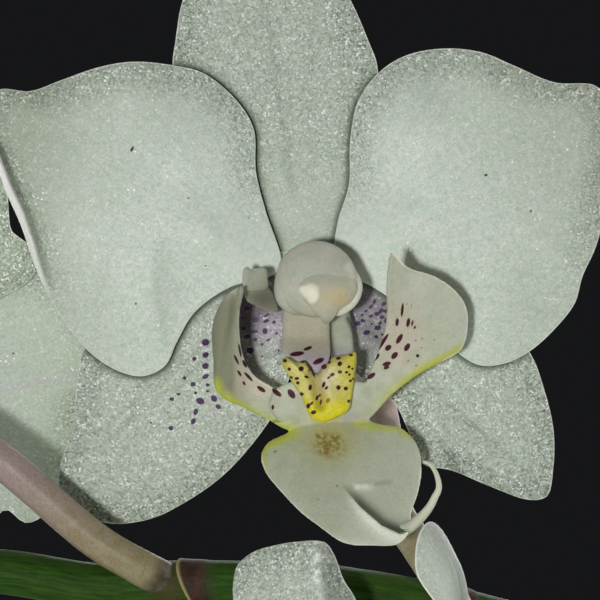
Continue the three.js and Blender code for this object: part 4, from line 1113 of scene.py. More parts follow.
def lip_marks(x, y, z, thread):
    """Colours in the bloom's plane: bands along margins and patches.

    Painted shade lies on the left flank, in the hollows and in the throat, painted shadow by the
    fold, the crease and the claw's gaps, painted light on the right lobe and painted highlights on
    the rims and crests.
    """
    near, along, side = line_distance(x, y, MID_RIDGE)
    grown = smoothstep(along, 0.02, 0.35) * (y < -15.5)
    # Painted shadow beside the fold and under the crease, and painted highlight on the crest and the
    # crease.
    fold_shade = 0.7 * bump(near, 0.12, 0.42) + 0.3 * bump(near, 0, 1.1)
    crease_light = line_distance(x, y, MID_CREASE[:2])[0]
    crease_shade = line_distance(x, y, MID_CREASE[1:])[0]
    # Painted highlight: a thin band along the rims.
    rims = [smooth_curve(line, np.linspace(0, 1, 40)) for line in RIMS]
    rim = np.maximum.reduce([band(x, y, line, 0.2) for line in rims])
    # Painted light on the right lobe's outer part and a lighter patch on the middle lobe; painted shade
    # in the hollows of both side lobes.
    light_lobe = smoothstep(x, 7.5, 11) * smoothstep(y, -10, -7)
    light_middle = smoothstep(x, 1.5, 4) * smoothstep(y, -13, -15)
    hollow_right = smoothstep(x, 8.2, 6.6) * smoothstep(y, -6, -2.5)
    hollow_left = smoothstep(x, -4.0, -4.8) * (y > -12)
    return {
        "yellow": np.maximum.reduce([
            band(x, y, LEFT_YELLOW, 1.1) * (0.75 + 0.25 * bump(x, -5.2, 2.0)),
            band(x, y, RIGHT_YELLOW, 1.25) * smoothstep(x, 3.0, 9.0),
            0.8 * band(x, y, MID_YELLOW_LEFT, 0.8),
            0.7 * band(x, y, MID_YELLOW_RIGHT, 0.7),
        ]),
        "dashes": spot_field(x, y, RIGHT_LOBE_DASHES + LEFT_LOBE_DASHES),
        "faint": spot_field(x, y, RIGHT_LOBE_FAINT + MID_DOTS),
        "brown": spot_field(x, y, BROWN),
        "olive": bump(np.hypot((x - 1.7) / 1.4, (y + 13.2) / 1.3), 0, 1.7),
        # Painted shade on the left lobe's outer flank.
        "flank": smoothstep(x, -5.4, -6.1) * smoothstep(y, -11, -9) * smoothstep(y, -1.0, -3),
        "light": light_lobe + light_middle,
        "hollow": hollow_right + hollow_left,
        "ear": 1.0 * (x < -2.5) * (y > -1.9),
        "rim": np.where(thread > 0, 0, rim),
        "fold_shadow": np.maximum(grown * (side > 0) * fold_shade, 0.3 * bump(crease_shade, 0, 0.2)),
        "crest": np.maximum(
            grown * (side < 0) * bump(near / (0.25 + along), 0.15, 0.75),
            0.6 * bump(crease_light, 0, 0.35)),
        # Painted shadow in the gaps beside the claw.
        "gap": np.maximum(band(x, y, PEG_LEFT, 0.3), band(x, y, PEG_RIGHT, 0.3)) * (z < 4.6),
        "green": smoothstep(-y, 10.5, 14.5),
        "warm": np.maximum(patch(x, y, 7.2, -5.2, 1.9, 1.6), patch(x, y, -4.3, -8.5, 2.2)),
        "lavender": np.maximum(patch(x, y, 2.7, -7.0, 0.9), patch(x, y, 3.4, -11.7, 0.7)),
        "shade": patch(x, y, -3.6, -2.4, 1.1),
    }


def lip_shape(detail):
    """Hub, lobes, ear, throat and claw melted together, then the thread, with the lip's marks."""
    around, rings = detail["around"], detail["rings"]
    small = halved(detail)
    parts = [
        blade(HUB, lambda at: 4.2 + LOBE_SLOPE * (at["y"] + 12.4), 1.2, **small),
        blade(LOBE_LEFT, left_lobe_height, 0.75, around, rings),
        blade(LOBE_RIGHT, right_lobe_height, 0.8, around, rings),
        blade(MIDLOBE, midlobe_height, 0.8, around, rings),
        blade(LOBE_EAR, lambda at: 6.2 - 0.5 * (at["x"] + 5), 0.6, **small),
        blade(LOBE_THROAT, lambda at: 5.6 - 1.3 * (at["x"] + 5), 0.6, **small),
        tube(CLAW_ROUTE, lambda share, angle: 1.0 + 0.08 * np.cos(2 * angle), 24, 16),
    ]
    body = melt(join(parts), detail["voxel"], 7)
    thread = tube(THREAD_ROUTE, lambda share, angle: 0.8 - 0.67 * share**0.6, 16, 60)
    thread["marks"] = {"thread": np.ones(len(thread["points"]))}
    whole = join([body, thread])
    whole["marks"].update(lip_marks(*whole["points"].T, whole["marks"]["thread"]))
    return whole


print("marks of the lip:", *lip_marks(*np.zeros((4, 1))))

# %% [markdown]
# ## The lip's finish
# The lip is waxier than the petals: greenish grey white, warmer under the dashes, yellow green
# along its lower margins and olive brown in the throat. Its cells look a little dull here and
# there, but none of them shines. Painted shade in the hollows, on the left flank and in the
# throat, painted shadows by the folds and gaps, painted light on the right lobe and painted
# highlights on the rims and crests make the shape read at a distance.

# %% Material: lip
MAROON = (0.060, 0.004, 0.014)
GREY_CELL = (0.08, 0.09, 0.05)


def lip_colour(tree):
    grain = use(tree, clouds, Size_mm=0.35, Low=0.38, High=0.6)["Cloud"]
    smudge = times(tree, fade(tree, mark(tree, "brown"), -0.9, 0.6), grain)
    return paint(
        tree, cloudy(tree, 1.2, (0.43, 0.49, 0.36), (0.55, 0.57, 0.47)),
        ("green", 0.5, (0.42, 0.46, 0.33)),
        # Painted light on the right lobe and a lighter patch on the middle lobe, then painted shade in
        # the hollows.
        ("light", 0.6, (0.54, 0.58, 0.46)),
        ("hollow", 0.6, (0.36, 0.39, 0.29)),
        ("warm", 0.6, (0.60, 0.50, 0.40)),
        # Painted shade on the left lobe's outer flank.
        ("flank", 0.85, (0.20, 0.21, 0.13)),
        ("ear", 0.7, (0.46, 0.49, 0.38)),
        ("lavender", 0.7, (0.40, 0.35, 0.48)),
        ("olive", 0.75, (0.40, 0.37, 0.09)),
        (smudge, 1, (0.25, 0.18, 0.03)),
        ("yellow", (0.05, 0.9, 0.95), (0.50, 0.54, 0.04)),
        # Painted shadow by the fold and the crease, a painted highlight on the crest, painted shadow in
        # the gaps.
        ("fold_shadow", 1, (0.09, 0.10, 0.06)),
        ("crest", 0.9, (0.82, 0.85, 0.73)),
        ("gap", 0.85, (0.06, 0.05, 0.05)),
        (dull_cells(tree, 0.18), 1, GREY_CELL),
        # Painted highlight along the rims.
        ("rim", (0.0, 0.8, 0.7), (0.85, 0.88, 0.72)),
        ("shade", 0.7, (0.14, 0.11, 0.09)),
        ("thread", 1, (0.60, 0.63, 0.49)),
        ("faint", (-0.2, 0.4, 0.6), (0.16, 0.08, 0.05)),
        ("dashes", (-0.4, -0.05, 1.0), MAROON))


lip = material(
    "waxy lip", lip_colour, 0.5, fine_lumps, 0.03,
    Subsurface_Weight=0.1, Subsurface_Scale=0.0003, Specular_IOR_Level=0.3)
print("material:", lip.name)

# %% [markdown]
# ## The callus
# The callus is a swollen, shining yellow ridge with two horns that open upwards and a groove
# between them, dotted with maroon. It guides an insect's head. A blade with a domed front and a
# flat back gives it, with the groove pressed in by distance to a line.

# %% Outline, groove and dots of the callus
CALLUS_OUTLINE = (
    (0.65, -8.17), (0.26, -7.94), (-0.05, -7.47), (-0.37, -7.16), (-0.91, -7.28), (-1.69, -6.89),
    (-2.04, -7.12), (-1.69, -8.02), (-1.07, -9.11), (-0.52, -9.97), (0.02, -11.26),
    (0.34, -11.69), (0.80, -11.92), (1.32, -11.96), (2.44, -11.53), (3.18, -11.03),
    (3.41, -10.20), (3.57, -9.27), (3.69, -8.33), (3.81, -7.32), (3.73, -6.46), (2.91, -6.69),
    (1.97, -6.89), (1.66, -7.16), (1.19, -7.63),
)
CALLUS_GROOVE = ((0.41, -8.10), (0.65, -9.11), (0.88, -9.81), (1.04, -10.59))
CALLUS_DOTS = (
    (-0.51, -7.77, 0.19, 0.16, 20), (-1.44, -7.80, 0.12, 0.12, 0),
    (-0.84, -8.52, 0.16, 0.10, 10), (-1.29, -8.45, 0.12, 0.09, 0),
    (-0.10, -8.40, 0.16, 0.09, -20), (-0.77, -8.87, 0.12, 0.12, 0),
    (0.20, -9.23, 0.20, 0.12, 80), (-0.47, -9.75, 0.14, 0.12, 0),
    (1.25, -9.00, 0.22, 0.10, 70), (1.47, -9.25, 0.15, 0.09, 50),
    (0.46, -8.19, 0.19, 0.07, -70), (0.05, -10.67, 0.18, 0.13, 70),
    (0.31, -10.46, 0.14, 0.09, 60), (0.46, -11.17, 0.19, 0.14, 20),
    (0.73, -10.05, 0.17, 0.09, 70), (0.94, -9.86, 0.12, 0.07, 60),
    (1.02, -10.38, 0.19, 0.07, 80), (1.28, -7.59, 0.20, 0.18, 40),
    (1.69, -7.25, 0.13, 0.10, 30), (1.92, -8.22, 0.16, 0.12, 20),
    (1.65, -8.45, 0.13, 0.08, 30), (2.50, -7.37, 0.16, 0.15, 60),
    (2.51, -8.00, 0.15, 0.12, 10), (3.03, -8.04, 0.12, 0.09, 0),
    (3.22, -7.62, 0.12, 0.09, 40), (3.49, -7.77, 0.09, 0.08, 0),
    (3.26, -8.22, 0.10, 0.08, 30), (3.34, -8.71, 0.12, 0.09, 20),
    (2.40, -9.23, 0.16, 0.15, 80), (2.98, -9.31, 0.15, 0.13, 20),
    (3.22, -10.31, 0.12, 0.12, 70), (-1.78, -7.14, 0.15, 0.12, 0),
    (-0.40, -7.22, 0.16, 0.09, 0), (2.40, -6.95, 0.17, 0.10, 10),
    (3.37, -6.70, 0.15, 0.09, 0), (3.56, -8.56, 0.09, 0.07, 0),
)
CALLUS_REDDISH = ((0.09, -7.89, 0.16, 0.11, 60), (1.58, -10.24, 0.23, 0.16, 60))
CALLUS = {"middle": (1.1, -9.5), "points": CALLUS_OUTLINE}
print("callus dots:", len(CALLUS_DOTS))

# %% Callus shape and finish
CALLUS_FOOT = 5.35


def callus_depth(at):
    """2.1 mm thick, 0.75 less along the groove, and up to 0.5 more towards the horns."""
    near, _, _ = line_distance(at["x"], at["y"], CALLUS_GROOVE)
    lumps = 0.1 * np.sin(2.3 * at["x"] + 1) * np.sin(2.1 * at["y"])
    return 2.1 - 0.75 * bump(near, 0, 0.42) + 0.5 * smoothstep(at["y"], -9.5, -6.8) + lumps


def callus_shape(detail):
    """The domed blade on its flat foot, with the dots as marks."""
    lift = lambda at: CALLUS_FOOT + callus_depth(at) / 2
    shape = blade(CALLUS, lift, callus_depth, detail["around"], detail["rings"], crowd=1.2)
    x, y, _ = shape["points"].T
    shape["marks"].update({
        "dots": spot_field(x, y, CALLUS_DOTS),
        "reddish": spot_field(x, y, CALLUS_REDDISH),
        "pink": patch(x, y, 1.3, -8.6, 0.85, 1.6),
        "bright": np.maximum(smoothstep(y, -9.3, -11), 0.6 * smoothstep(x, 2.6, 3.6)),
        # Painted shade in the groove.
        "groove": bump(line_distance(x, y, CALLUS_GROOVE)[0], 0, 0.22),
    })
    return shape


def callus_colour(tree):
    return paint(
        tree, cloudy(tree, 0.7, (0.56, 0.52, 0.10), (0.68, 0.64, 0.20)),
        ("bright", 1, (0.72, 0.66, 0.02)),
        ("pink", 0.85, (0.62, 0.52, 0.36)),
        # Painted shade in the groove.
        ("groove", 0.6, (0.30, 0.22, 0.03)),
        ("reddish", (-0.2, 0.4, 0.8), (0.28, 0.05, 0.02)),
        (dull_cells(tree, 0.25, cell_mm=0.12), 1, (0.20, 0.14, 0.01)),
        ("dots", (-0.35, 0.0, 1.0), (0.05, 0.006, 0.008)))


callus = material(
    "yellow callus", callus_colour, 0.45, fine_lumps, 0.04,
    Subsurface_Weight=0.1, Subsurface_Scale=0.0003, Specular_IOR_Level=0.35)
print("material:", callus.name)

# %% [markdown]
# ## The column
# Stamen and pistil are grown together into one column. It ends in a rounded hood, and a cream
# anther cap with a beak closes its front like a visor. A foot runs down behind the callus. Hood,
# rim, a swollen shoulder and foot are melted together, with the disc on which the tepals sit. The
# cap is a domed blade that follows the hood's curve.

# %% Rings, outlines and routes of the column
HOOD_RINGS = (
    (-1.7, 0, 0, 1.7, 1.7), (0.6, 0, 0, 1.7, 1.7), (2.6, 0.1, -0.1, 2, 1.9),
    (4.6, 0.4, -0.5, 2.7, 2.5), (6.2, 0.65, -0.75, 3.15, 3), (7.4, 0.75, -0.85, 3.0, 2.8),
    (8.2, 0.8, -0.9, 2.15, 1.9), (8.55, 0.8, -1, 1.1, 1.0), (8.62, 0.8, -1, 0, 0),
)
FOOT = {"middle": (0, -4.4), "points": (
    (-1.5, -0.4), (-1.9, -2.4), (-2, -4.8), (-2, -6.6), (-0.6, -7.5), (0.7, -8.3), (1.7, -7.1),
    (1.8, -5), (1.6, -2.4), (1.4, -0.4),
)}
RIM_ROUTE = (
    (1.9, -3.6, 6.6), (2.6, -3.4, 6.9), (3.3, -2.9, 7.0), (3.8, -2.2, 7.0), (4.0, -1.3, 6.9),
    (3.8, -0.5, 6.6), (3.3, 0.2, 6.2),
)
SHOULDER_ROUTE = (
    (-1.2, 1.2, 6.3), (-1.55, 0, 6.5), (-1.7, -1.3, 6.6), (-1.6, -2.2, 6.4), (-0.9, -2.9, 6.2),
    (0.2, -3.2, 6.1),
)
SEAT = {"middle": (0, 0), "points": (
    (3.2, 0), (2.3, 2.3), (0, 3.2), (-2.3, 2.3), (-3.2, 0), (-2.3, -2.3), (0, -3.2), (2.3, -2.3),
)}
FOOT_DASHES = (
    (-0.84, -6.63, 0.47, 0.15, 8), (0.02, -6.21, 0.29, 0.11, 20),
    (0.85, -7.21, 0.39, 0.17, 25), (1.29, -7.67, 0.22, 0.17, 45),
)
CAP_OUTLINE = (
    (-0.76, -1.31), (-0.37, -0.38), (0.57, 0.24), (1.73, 0.48), (2.90, 0.09), (3.68, -0.69),
    (3.91, -1.62), (3.37, -2.56), (2.51, -3.10), (2.12, -3.72), (1.42, -4.31), (0.88, -3.72),
    (0.26, -3.10), (-0.44, -2.17),
)
CAP = {"middle": (1.6, -1.7), "points": CAP_OUTLINE}
# A painted highlight on the cap's pale cream: three ellipses, each (across, up, half length, half
# width, turn).
CAP_HIGHLIGHT = ((0.15, -1.7, 0.8, 0.62, 20), (0.4, -2.1, 0.65, 0.5, 65), (-0.2, -1.65, 0.6, 0.42, 0))
print("hood rings:", len(HOOD_RINGS))


# %% Column and cap shapes
def hood_shape():
    """Ovals whose height, centre and half widths follow one smooth curve to a point."""
    rings = smooth_curve(HOOD_RINGS, np.linspace(0, 1, 60))
    angle = circle(72)
    height, x, y, wide, tall = [rings[:, k, None] for k in range(5)]
    walls = np.stack([x + wide * np.cos(angle), y + tall * np.sin(angle), height + 0 * angle], -1)
    start = np.repeat([[[0, 0, HOOD_RINGS[0][0]]]], len(angle), 1)
    return skin(np.concatenate([start, walls]))


def foot_height(at):
    """It rises towards the lip and is hollow along its middle, like a gutter."""
    rise = 1.3 * smoothstep(at["y"], -5.2, -7.4)
    return 1.8 + 0.3 * np.maximum(0, -at["y"]) - 0.25 * bump(at["x"], 0, 1.1) + rise


def cap_height(at):
    """The hood's own curve, a quarter ellipse about its middle, with the cap swelling on it."""
    out = np.hypot(at["x"] - 0.8, at["y"] + 0.8)
    curve = 6.3 + 2.3 * np.sqrt(np.clip(1 - (out / 3.55) ** 2, 0.02, 1))
    crest = 0.3 * bump(np.hypot(at["x"] - 0.3, at["y"] + 1.8), 0, 0.7)
    sunk = 0.4 * smoothstep(at["y"], -1.6, 0.1)
    return curve + 0.12 * (1 - at["share"] ** 2) + crest - sunk


def swelling(radius):
    """A tube's radius that grows and shrinks like a sine."""
    return lambda share, angle: radius * np.sin(np.pi * (0.12 + 0.76 * share))


def column_shape(detail):
    """Hood, foot, rim, shoulder and the tepals' seat melted together, with the column's marks."""
    parts = [
        hood_shape(),
        blade(FOOT, foot_height, 1.4, **halved(detail)),
        tube(RIM_ROUTE, swelling(0.34), 16, 40),
        tube(SHOULDER_ROUTE, swelling(0.95), 24, 40),
        blade(SEAT, lambda at: -0.8 + 0 * at["x"], 0.9, **halved(detail)),
    ]
    shape = melt(join(parts), detail["voxel"], 6)
    x, y, z = shape["points"].T
    shape["marks"] = {
        "dashes": np.where(z > 1.8, spot_field(x, y, FOOT_DASHES), -1),
        "lavender": smoothstep(-y, 5.8, 7.6),
        "foot": smoothstep(-y, 2.6, 4.0),
        "rim": band(x, y, np.array(RIM_ROUTE)[:, :2], 0.7),
    }
    return shape


def cap_shape(detail):
    """The anther cap, with marks for a painted highlight on its pale cream, its tan side and two orange
    patches.
    """
    shape = blade(CAP, cap_height, 0.55, **halved(detail))
    x, y, _ = shape["points"].T
    shape["marks"].update({
        "cap_highlight": spot_field(x, y, CAP_HIGHLIGHT),
        "tan": patch(x, y, 2.1, -2.1, 1.3, 0.7),
        "orange": np.maximum(patch(x, y, 2.6, -2.45, 0.55), 0.6 * patch(x, y, 0.55, -2.5, 0.4)),
    })
    return shape


print("hood:", len(hood_shape()["points"]), "points")


# %% Materials: column and cap
def column_colour(tree):
    return paint(
        tree, cloudy(tree, 1.4, (0.43, 0.46, 0.36), (0.52, 0.51, 0.43)),
        ("foot", 0.75, (0.50, 0.46, 0.34)),
        ("lavender", 0.8, (0.42, 0.35, 0.47)),
        ("rim", (0.1, 0.8, 0.6), (0.70, 0.68, 0.56)),
        (dull_cells(tree, 0.16), 1, GREY_CELL),
        ("dashes", (-0.4, -0.05, 1.0), MAROON))


def cap_colour(tree):
    return paint(
        tree, cloudy(tree, 0.9, (0.44, 0.45, 0.35), (0.50, 0.50, 0.41)),
        ("tan", 0.85, (0.55, 0.49, 0.30)),
        ("orange", 0.7, (0.58, 0.44, 0.20)),
        (dull_cells(tree, 0.16), 1, (0.10, 0.09, 0.05)),
        # Painted highlight on the pale cream of the cap.
        ("cap_highlight", (-0.2, 0.45, 1.0), (0.80, 0.78, 0.62)))


column = material(
    "ivory column", column_colour, 0.5, fine_lumps, 0.03,
    Subsurface_Weight=0.1, Subsurface_Scale=0.0005, Specular_IOR_Level=0.3)
cap = material(
    "cream anther cap", cap_colour, 0.45, fine_lumps, 0.02,
    Subsurface_Weight=0.1, Subsurface_Scale=0.0005, Specular_IOR_Level=0.35)
print("materials:", column.name, "and", cap.name)

# %% Make each bloom's lip, callus, column and cap
for number, (bloom, detail) in enumerate(zip(BLOOMS, DETAIL), 1):
    name = f"bloom_{number}"
    lip_tissue = placed(lip_shape(detail), bloom)
    piece(f"{name}_lip_tissue", lip_tissue, lip, [f"{name}_lip"])
    swollen = placed(callus_shape(detail), bloom)
    piece(f"{name}_callus_swelling", swollen, callus, [f"{name}_callus"])
    column_tissue = placed(column_shape(detail), bloom)
    piece(f"{name}_column_tissue", column_tissue, column, [f"{name}_column"])
    piece(f"{name}_anther_cap", placed(cap_shape(detail), bloom), cap)

# %% [markdown]
# ## Pedicels
# Each bloom hangs on a pedicel, which is dark where it leaves the spike, then olive, and flushed
# pink and pale towards the bloom, painted lighter there so that it stays bright in the lip's
# shadow. It is a tube with shallow ribs, and its colour follows its length.

# %% Pedicels
def pedicel_radius(share, angle):
    """1.42 mm, a little wider at its foot on the spike, with six shallow ribs."""
    plain = 1.42 + 0.16 * smoothstep(share, 0.14, 0)
    return plain * (1 + 0.018 * np.cos(6 * angle)) + 0.02 * np.sin(9 * share + angle)


def pedicel_colour(tree):
    tint = use(tree, clouds, Size_mm=1.0, Low=0.3, High=0.7)["Cloud"]
    foot = fade(tree, mark(tree, "along"), 0.055, 0.085)
    return paint(
        tree, mix(tree, foot, (0.045, 0.038, 0.012), (0.25, 0.215, 0.10)),
        ("along", (0.15, 0.5, 1.0), (0.34, 0.25, 0.23)),
        # Pale pink white by the bloom, painted lighter than the tissue so that it stays bright in the
        # lip's shadow.
        ("along", (0.6, 0.95, 1.0), (0.80, 0.71, 0.68)),
        (tint, 0.25, (0.42, 0.36, 0.33)),
        (dull_cells(tree, 0.35), 1, (0.05, 0.04, 0.03)))


pedicel = material(
    "blushed pedicel", pedicel_colour, 0.5, fine_lumps, 0.03,
    Subsurface_Weight=0.08, Subsurface_Scale=0.0005, Specular_IOR_Level=0.35)
for number, bloom in enumerate(BLOOMS, 1):
    meeting = on_bloom([(0, 0, -4.6), (0, 0, -2.0)], bloom)
    route = np.vstack([bloom["pedicel"], meeting])
    shape = tube(route, pedicel_radius, 40, 160)
    piece(f"pedicel_{number}_stalk", shape, pedicel, [f"pedicel_{number}"])

# %% [markdown]
# ## The flower spike
# The spike climbs beside the leaves, arches and runs behind the blooms. It is firm and green with
# fine lengthwise streaks. Small bracts, dry scales with a pale edge, clasp it under every stalk.
# The stem is a tube; a bract is a thin wall round the same route that ends in a point.

# %% Routes of the spike and the buds
SPIKE_ROUTE = (
    (4.6, -2.2, 74), (9, -4, 78), (15, -4, 85), (24, -1, 100), (31, 1, 119), (28, 0, 137),
    (17, -1, 148), (-1.3, -3, 154.2), (-14.7, -4, 155.6), (-25.8, -4, 155.4), (-33.7, -4.5, 156.6),
    (-46, -7, 157), (-57, -9, 153.5), (-65, -10, 148.2), (-67, -10.2, 146),
)
BUDS = (
    {"foot": (-54, -8.4, 155), "start": (-60, -13, 160), "tip": (-66, -17, 166), "width": 7.2},
    {"foot": (-60.5, -9.4, 151.4), "start": (-67, -11, 152.6), "tip": (-73.6, -12.6, 155.6),
     "width": 5.8},
    {"foot": (-64.6, -10, 148.4), "start": (-68.4, -13, 147.6), "tip": (-72.8, -16, 148), "width": 4.4},
)
spike_line = smooth_curve(SPIKE_ROUTE, np.linspace(0, 1, 2001))
spike_length = np.linalg.norm(np.diff(spike_line, axis=0), axis=1).sum()


def share_near(point):
    """The share of the spike's length that is nearest to a point."""
    return np.linalg.norm(spike_line - np.array(point), axis=1).argmin() / 2000


feet = [bloom["pedicel"][0] for bloom in BLOOMS] + [bud["foot"] for bud in BUDS]
leads = [bloom["pedicel"][1] for bloom in BLOOMS] + [bud["start"] for bud in BUDS]
node_shares = np.array([share_near(foot) for foot in feet])
print(f"spike: {spike_length:.0f} mm long with {len(node_shares)} nodes")


# %% Spike and bracts
def spike_girth(share):
    """2.3 mm at the base, 1.8 mm from the middle, 1.1 mm at the tip."""
    low = 2.3 - 0.5 * smoothstep(share, 0, 0.5)
    return low + (1.1 - low) * smoothstep(share, 0.75, 1)


def spike_radius(share, angle):
    """The girth with shallow ribs and a slight swelling at each node."""
    swelling = 0.12 * bump(share[..., None], node_shares, 1.6 / spike_length).sum(-1)
    return spike_girth(share) * (1 + 0.012 * np.cos(11 * angle + 6 * share)) + swelling


def bract_shape(at, lead, length):
    """A thin wall round the spike that ends at that share, longest on the side of its stalk.

    Rows run up the outside from the lower edge, over the free edge and down the inside. The free
    edge reaches further by the power 1.5 of (1 + cos a) / 2, with a from the stalk's side.
    """
    centre = smooth_curve(SPIKE_ROUTE, np.array([at]))[0]
    out = np.array(lead, float) - centre
    angle = circle(72)
    rows = np.concatenate([np.linspace(0, 1, 16), [1.0], np.linspace(1, 0, 16)])[:, None]
    wall = np.concatenate([np.linspace(0, 0.09, 16), [0.05], np.linspace(0.01, -0.3, 16)])[:, None]
    tip = 0.55 + 0.45 * ((1 + np.cos(angle)) / 2) ** 1.5
    travel = at + (rows * tip - 1) * length / spike_length
    middle = smooth_curve(SPIKE_ROUTE, travel.ravel()).reshape(*travel.shape, 3)
    ahead = smooth_curve(SPIKE_ROUTE, travel.ravel() + 0.002).reshape(*travel.shape, 3)
    tangent = unit(ahead - middle)
    side = unit(out - (out * tangent).sum(-1, keepdims=True) * tangent)
    other = np.cross(tangent, side)
    size = spike_girth(at) - 0.03 + 0.12 * smoothstep(rows, 0, 0.6) + wall + 0.1 * rows**3
    grid = middle + size[..., None] * spokes(angle, side, other)
    return skin(capped(grid), tip=padded(rows) + 0 * angle)


def spike_colour(tree):
    line = streaks(tree, {"angle": 7.0, "along": 60.0}, scale=1.2)
    return paint(
        tree, mix(tree, fade(tree, line, 0.35, 0.65), (0.014, 0.045, 0.004), (0.030, 0.078, 0.008)),
        (noise(tree, 2.5), (0.5, 0.8, 0.4), (0.05, 0.075, 0.016)),
        ("node", 1, (0.06, 0.048, 0.016)))


def bract_colour(tree):
    return paint(
        tree, cloudy(tree, 0.9, (0.022, 0.014, 0.006), (0.060, 0.024, 0.014)),
        ("tip", (0.55, 0.1, 1.0), (0.020, 0.052, 0.007)),
        ("tip", (0.88, 0.98, 1.0), (0.30, 0.27, 0.10)))


spike = material("streaked green spike", spike_colour, 0.6, fine_lumps, 0.05, Specular_IOR_Level=0.1)
bract = material("dry bract", bract_colour, 0.65, fine_lumps, 0.06, Specular_IOR_Level=0.25)
stalk = tube(SPIKE_ROUTE, spike_radius, 48, 700)
past_node = (stalk["marks"]["along"][:, None] - node_shares) * spike_length
stalk["marks"]["node"] = 0.8 * bump(past_node, 0.2, 1.3).max(-1)
piece("flower_spike_stalk", stalk, spike, ["flower_spike"])
bract_lengths = (2.0, 3.4, 2.0, 3.0, 3.0, 2.6, 2.2)
bract_shifts = (-0.5, -0.5, 1.2, -0.5, -0.5, -0.5, -0.5)
bracts = [
    bract_shape(share_near(foot) + shift / spike_length, lead, length)
    for foot, lead, length, shift in zip(feet, leads, bract_lengths, bract_shifts)
]
for at, side in ((0.17, (0, -1, 0.4)), (0.34, (1, 0.2, 0.2))):
    lead = smooth_curve(SPIKE_ROUTE, np.array([at]))[0] + np.array(side)
    bracts.append(bract_shape(at, lead, 8.0))
piece("flower_spike_bracts", join(bracts), bract)

# %% [markdown]
# ## Buds
# Closed buds are green ivory eggs with three seams where the sepals meet, on thin stalks. Each is
# a turned shape whose radius follows a sine, pressed in along the seams.

# %% Buds
def bud_shape(bud):
    """Radius = half width x sin(pi share^0.85)^0.7, less in three seams, about the bud's axis."""
    start, tip = np.array(bud["start"], float), np.array(bud["tip"], float)
    length = np.linalg.norm(tip - start)
    axis = unit(tip - start)
    side = unit(np.cross(axis, (0, 0, 1)))
    other = np.cross(axis, side)
    share = np.linspace(0, 1, 60)[:, None]
    angle = circle(72)
    off_seam = np.minimum(1, np.abs(np.sin(1.5 * angle)) * 2.2)
    plain = np.sin(np.pi * share**0.85).clip(0, 1) ** 0.7
    radius = bud["width"] / 2 * plain * (0.86 + 0.14 * off_seam**0.6)
    grid = start + (share * length)[..., None] * axis + radius[..., None] * spokes(angle, side, other)
    sag = (np.array(bud["foot"]) + start) / 2 - np.array([0, 0, 0.6])
    route = (bud["foot"], sag, start, start + 0.25 * length * axis)
    neck = tube(route, lambda s, a: 1.0 + 0.15 * s, 24, 60)
    neck["marks"] = {"stalk": np.ones(len(neck["points"]))}
    return join([skin(grid, seam=1 - off_seam + 0 * share, along=share + 0 * angle), neck])


def bud_colour(tree):
    return paint(
        tree, cloudy(tree, 1.2, (0.30, 0.38, 0.17), (0.42, 0.47, 0.27)),
        ("along", (0.5, 1.0, 0.6), (0.45, 0.34, 0.27)),
        ("seam", 0.7, (0.18, 0.24, 0.07)),
        ("stalk", 1, (0.20, 0.22, 0.08)))


bud_finish = material(
    "green bud", bud_colour, 0.42, fine_lumps, 0.04, Subsurface_Weight=0.1, Subsurface_Scale=0.0008)
for number, bud in enumerate(BUDS, 1):
    piece(f"bud_{number}_closed", bud_shape(bud), bud_finish, [f"bud_{number}"])

# %% [markdown]
# ## Leaves and stem
# Five fleshy leaves leave a short stem left and right. Each is a strap that rises, bends over
# under its own weight and is folded along its midrib. The pitch along the leaf gives its line, and
# rows of half ellipses across it give the blade, thick in the middle and thin at the edge.

# %% Leaves
LEAVES = (
    {"azimuth": -34, "base": 64.5, "length": 96, "width": 37, "rise": 32, "bend": 62},
    {"azimuth": 172, "base": 67.5, "length": 104, "width": 39, "rise": 36, "bend": 66},
    {"azimuth": 52, "base": 70.5, "length": 88, "width": 36, "rise": 46, "bend": 62},
    {"azimuth": 212, "base": 73.5, "length": 80, "width": 34, "rise": 50, "bend": 58},
    {"azimuth": 122, "base": 76.5, "length": 56, "width": 27, "rise": 64, "bend": 40},
)
STEM_RADIUS = 5


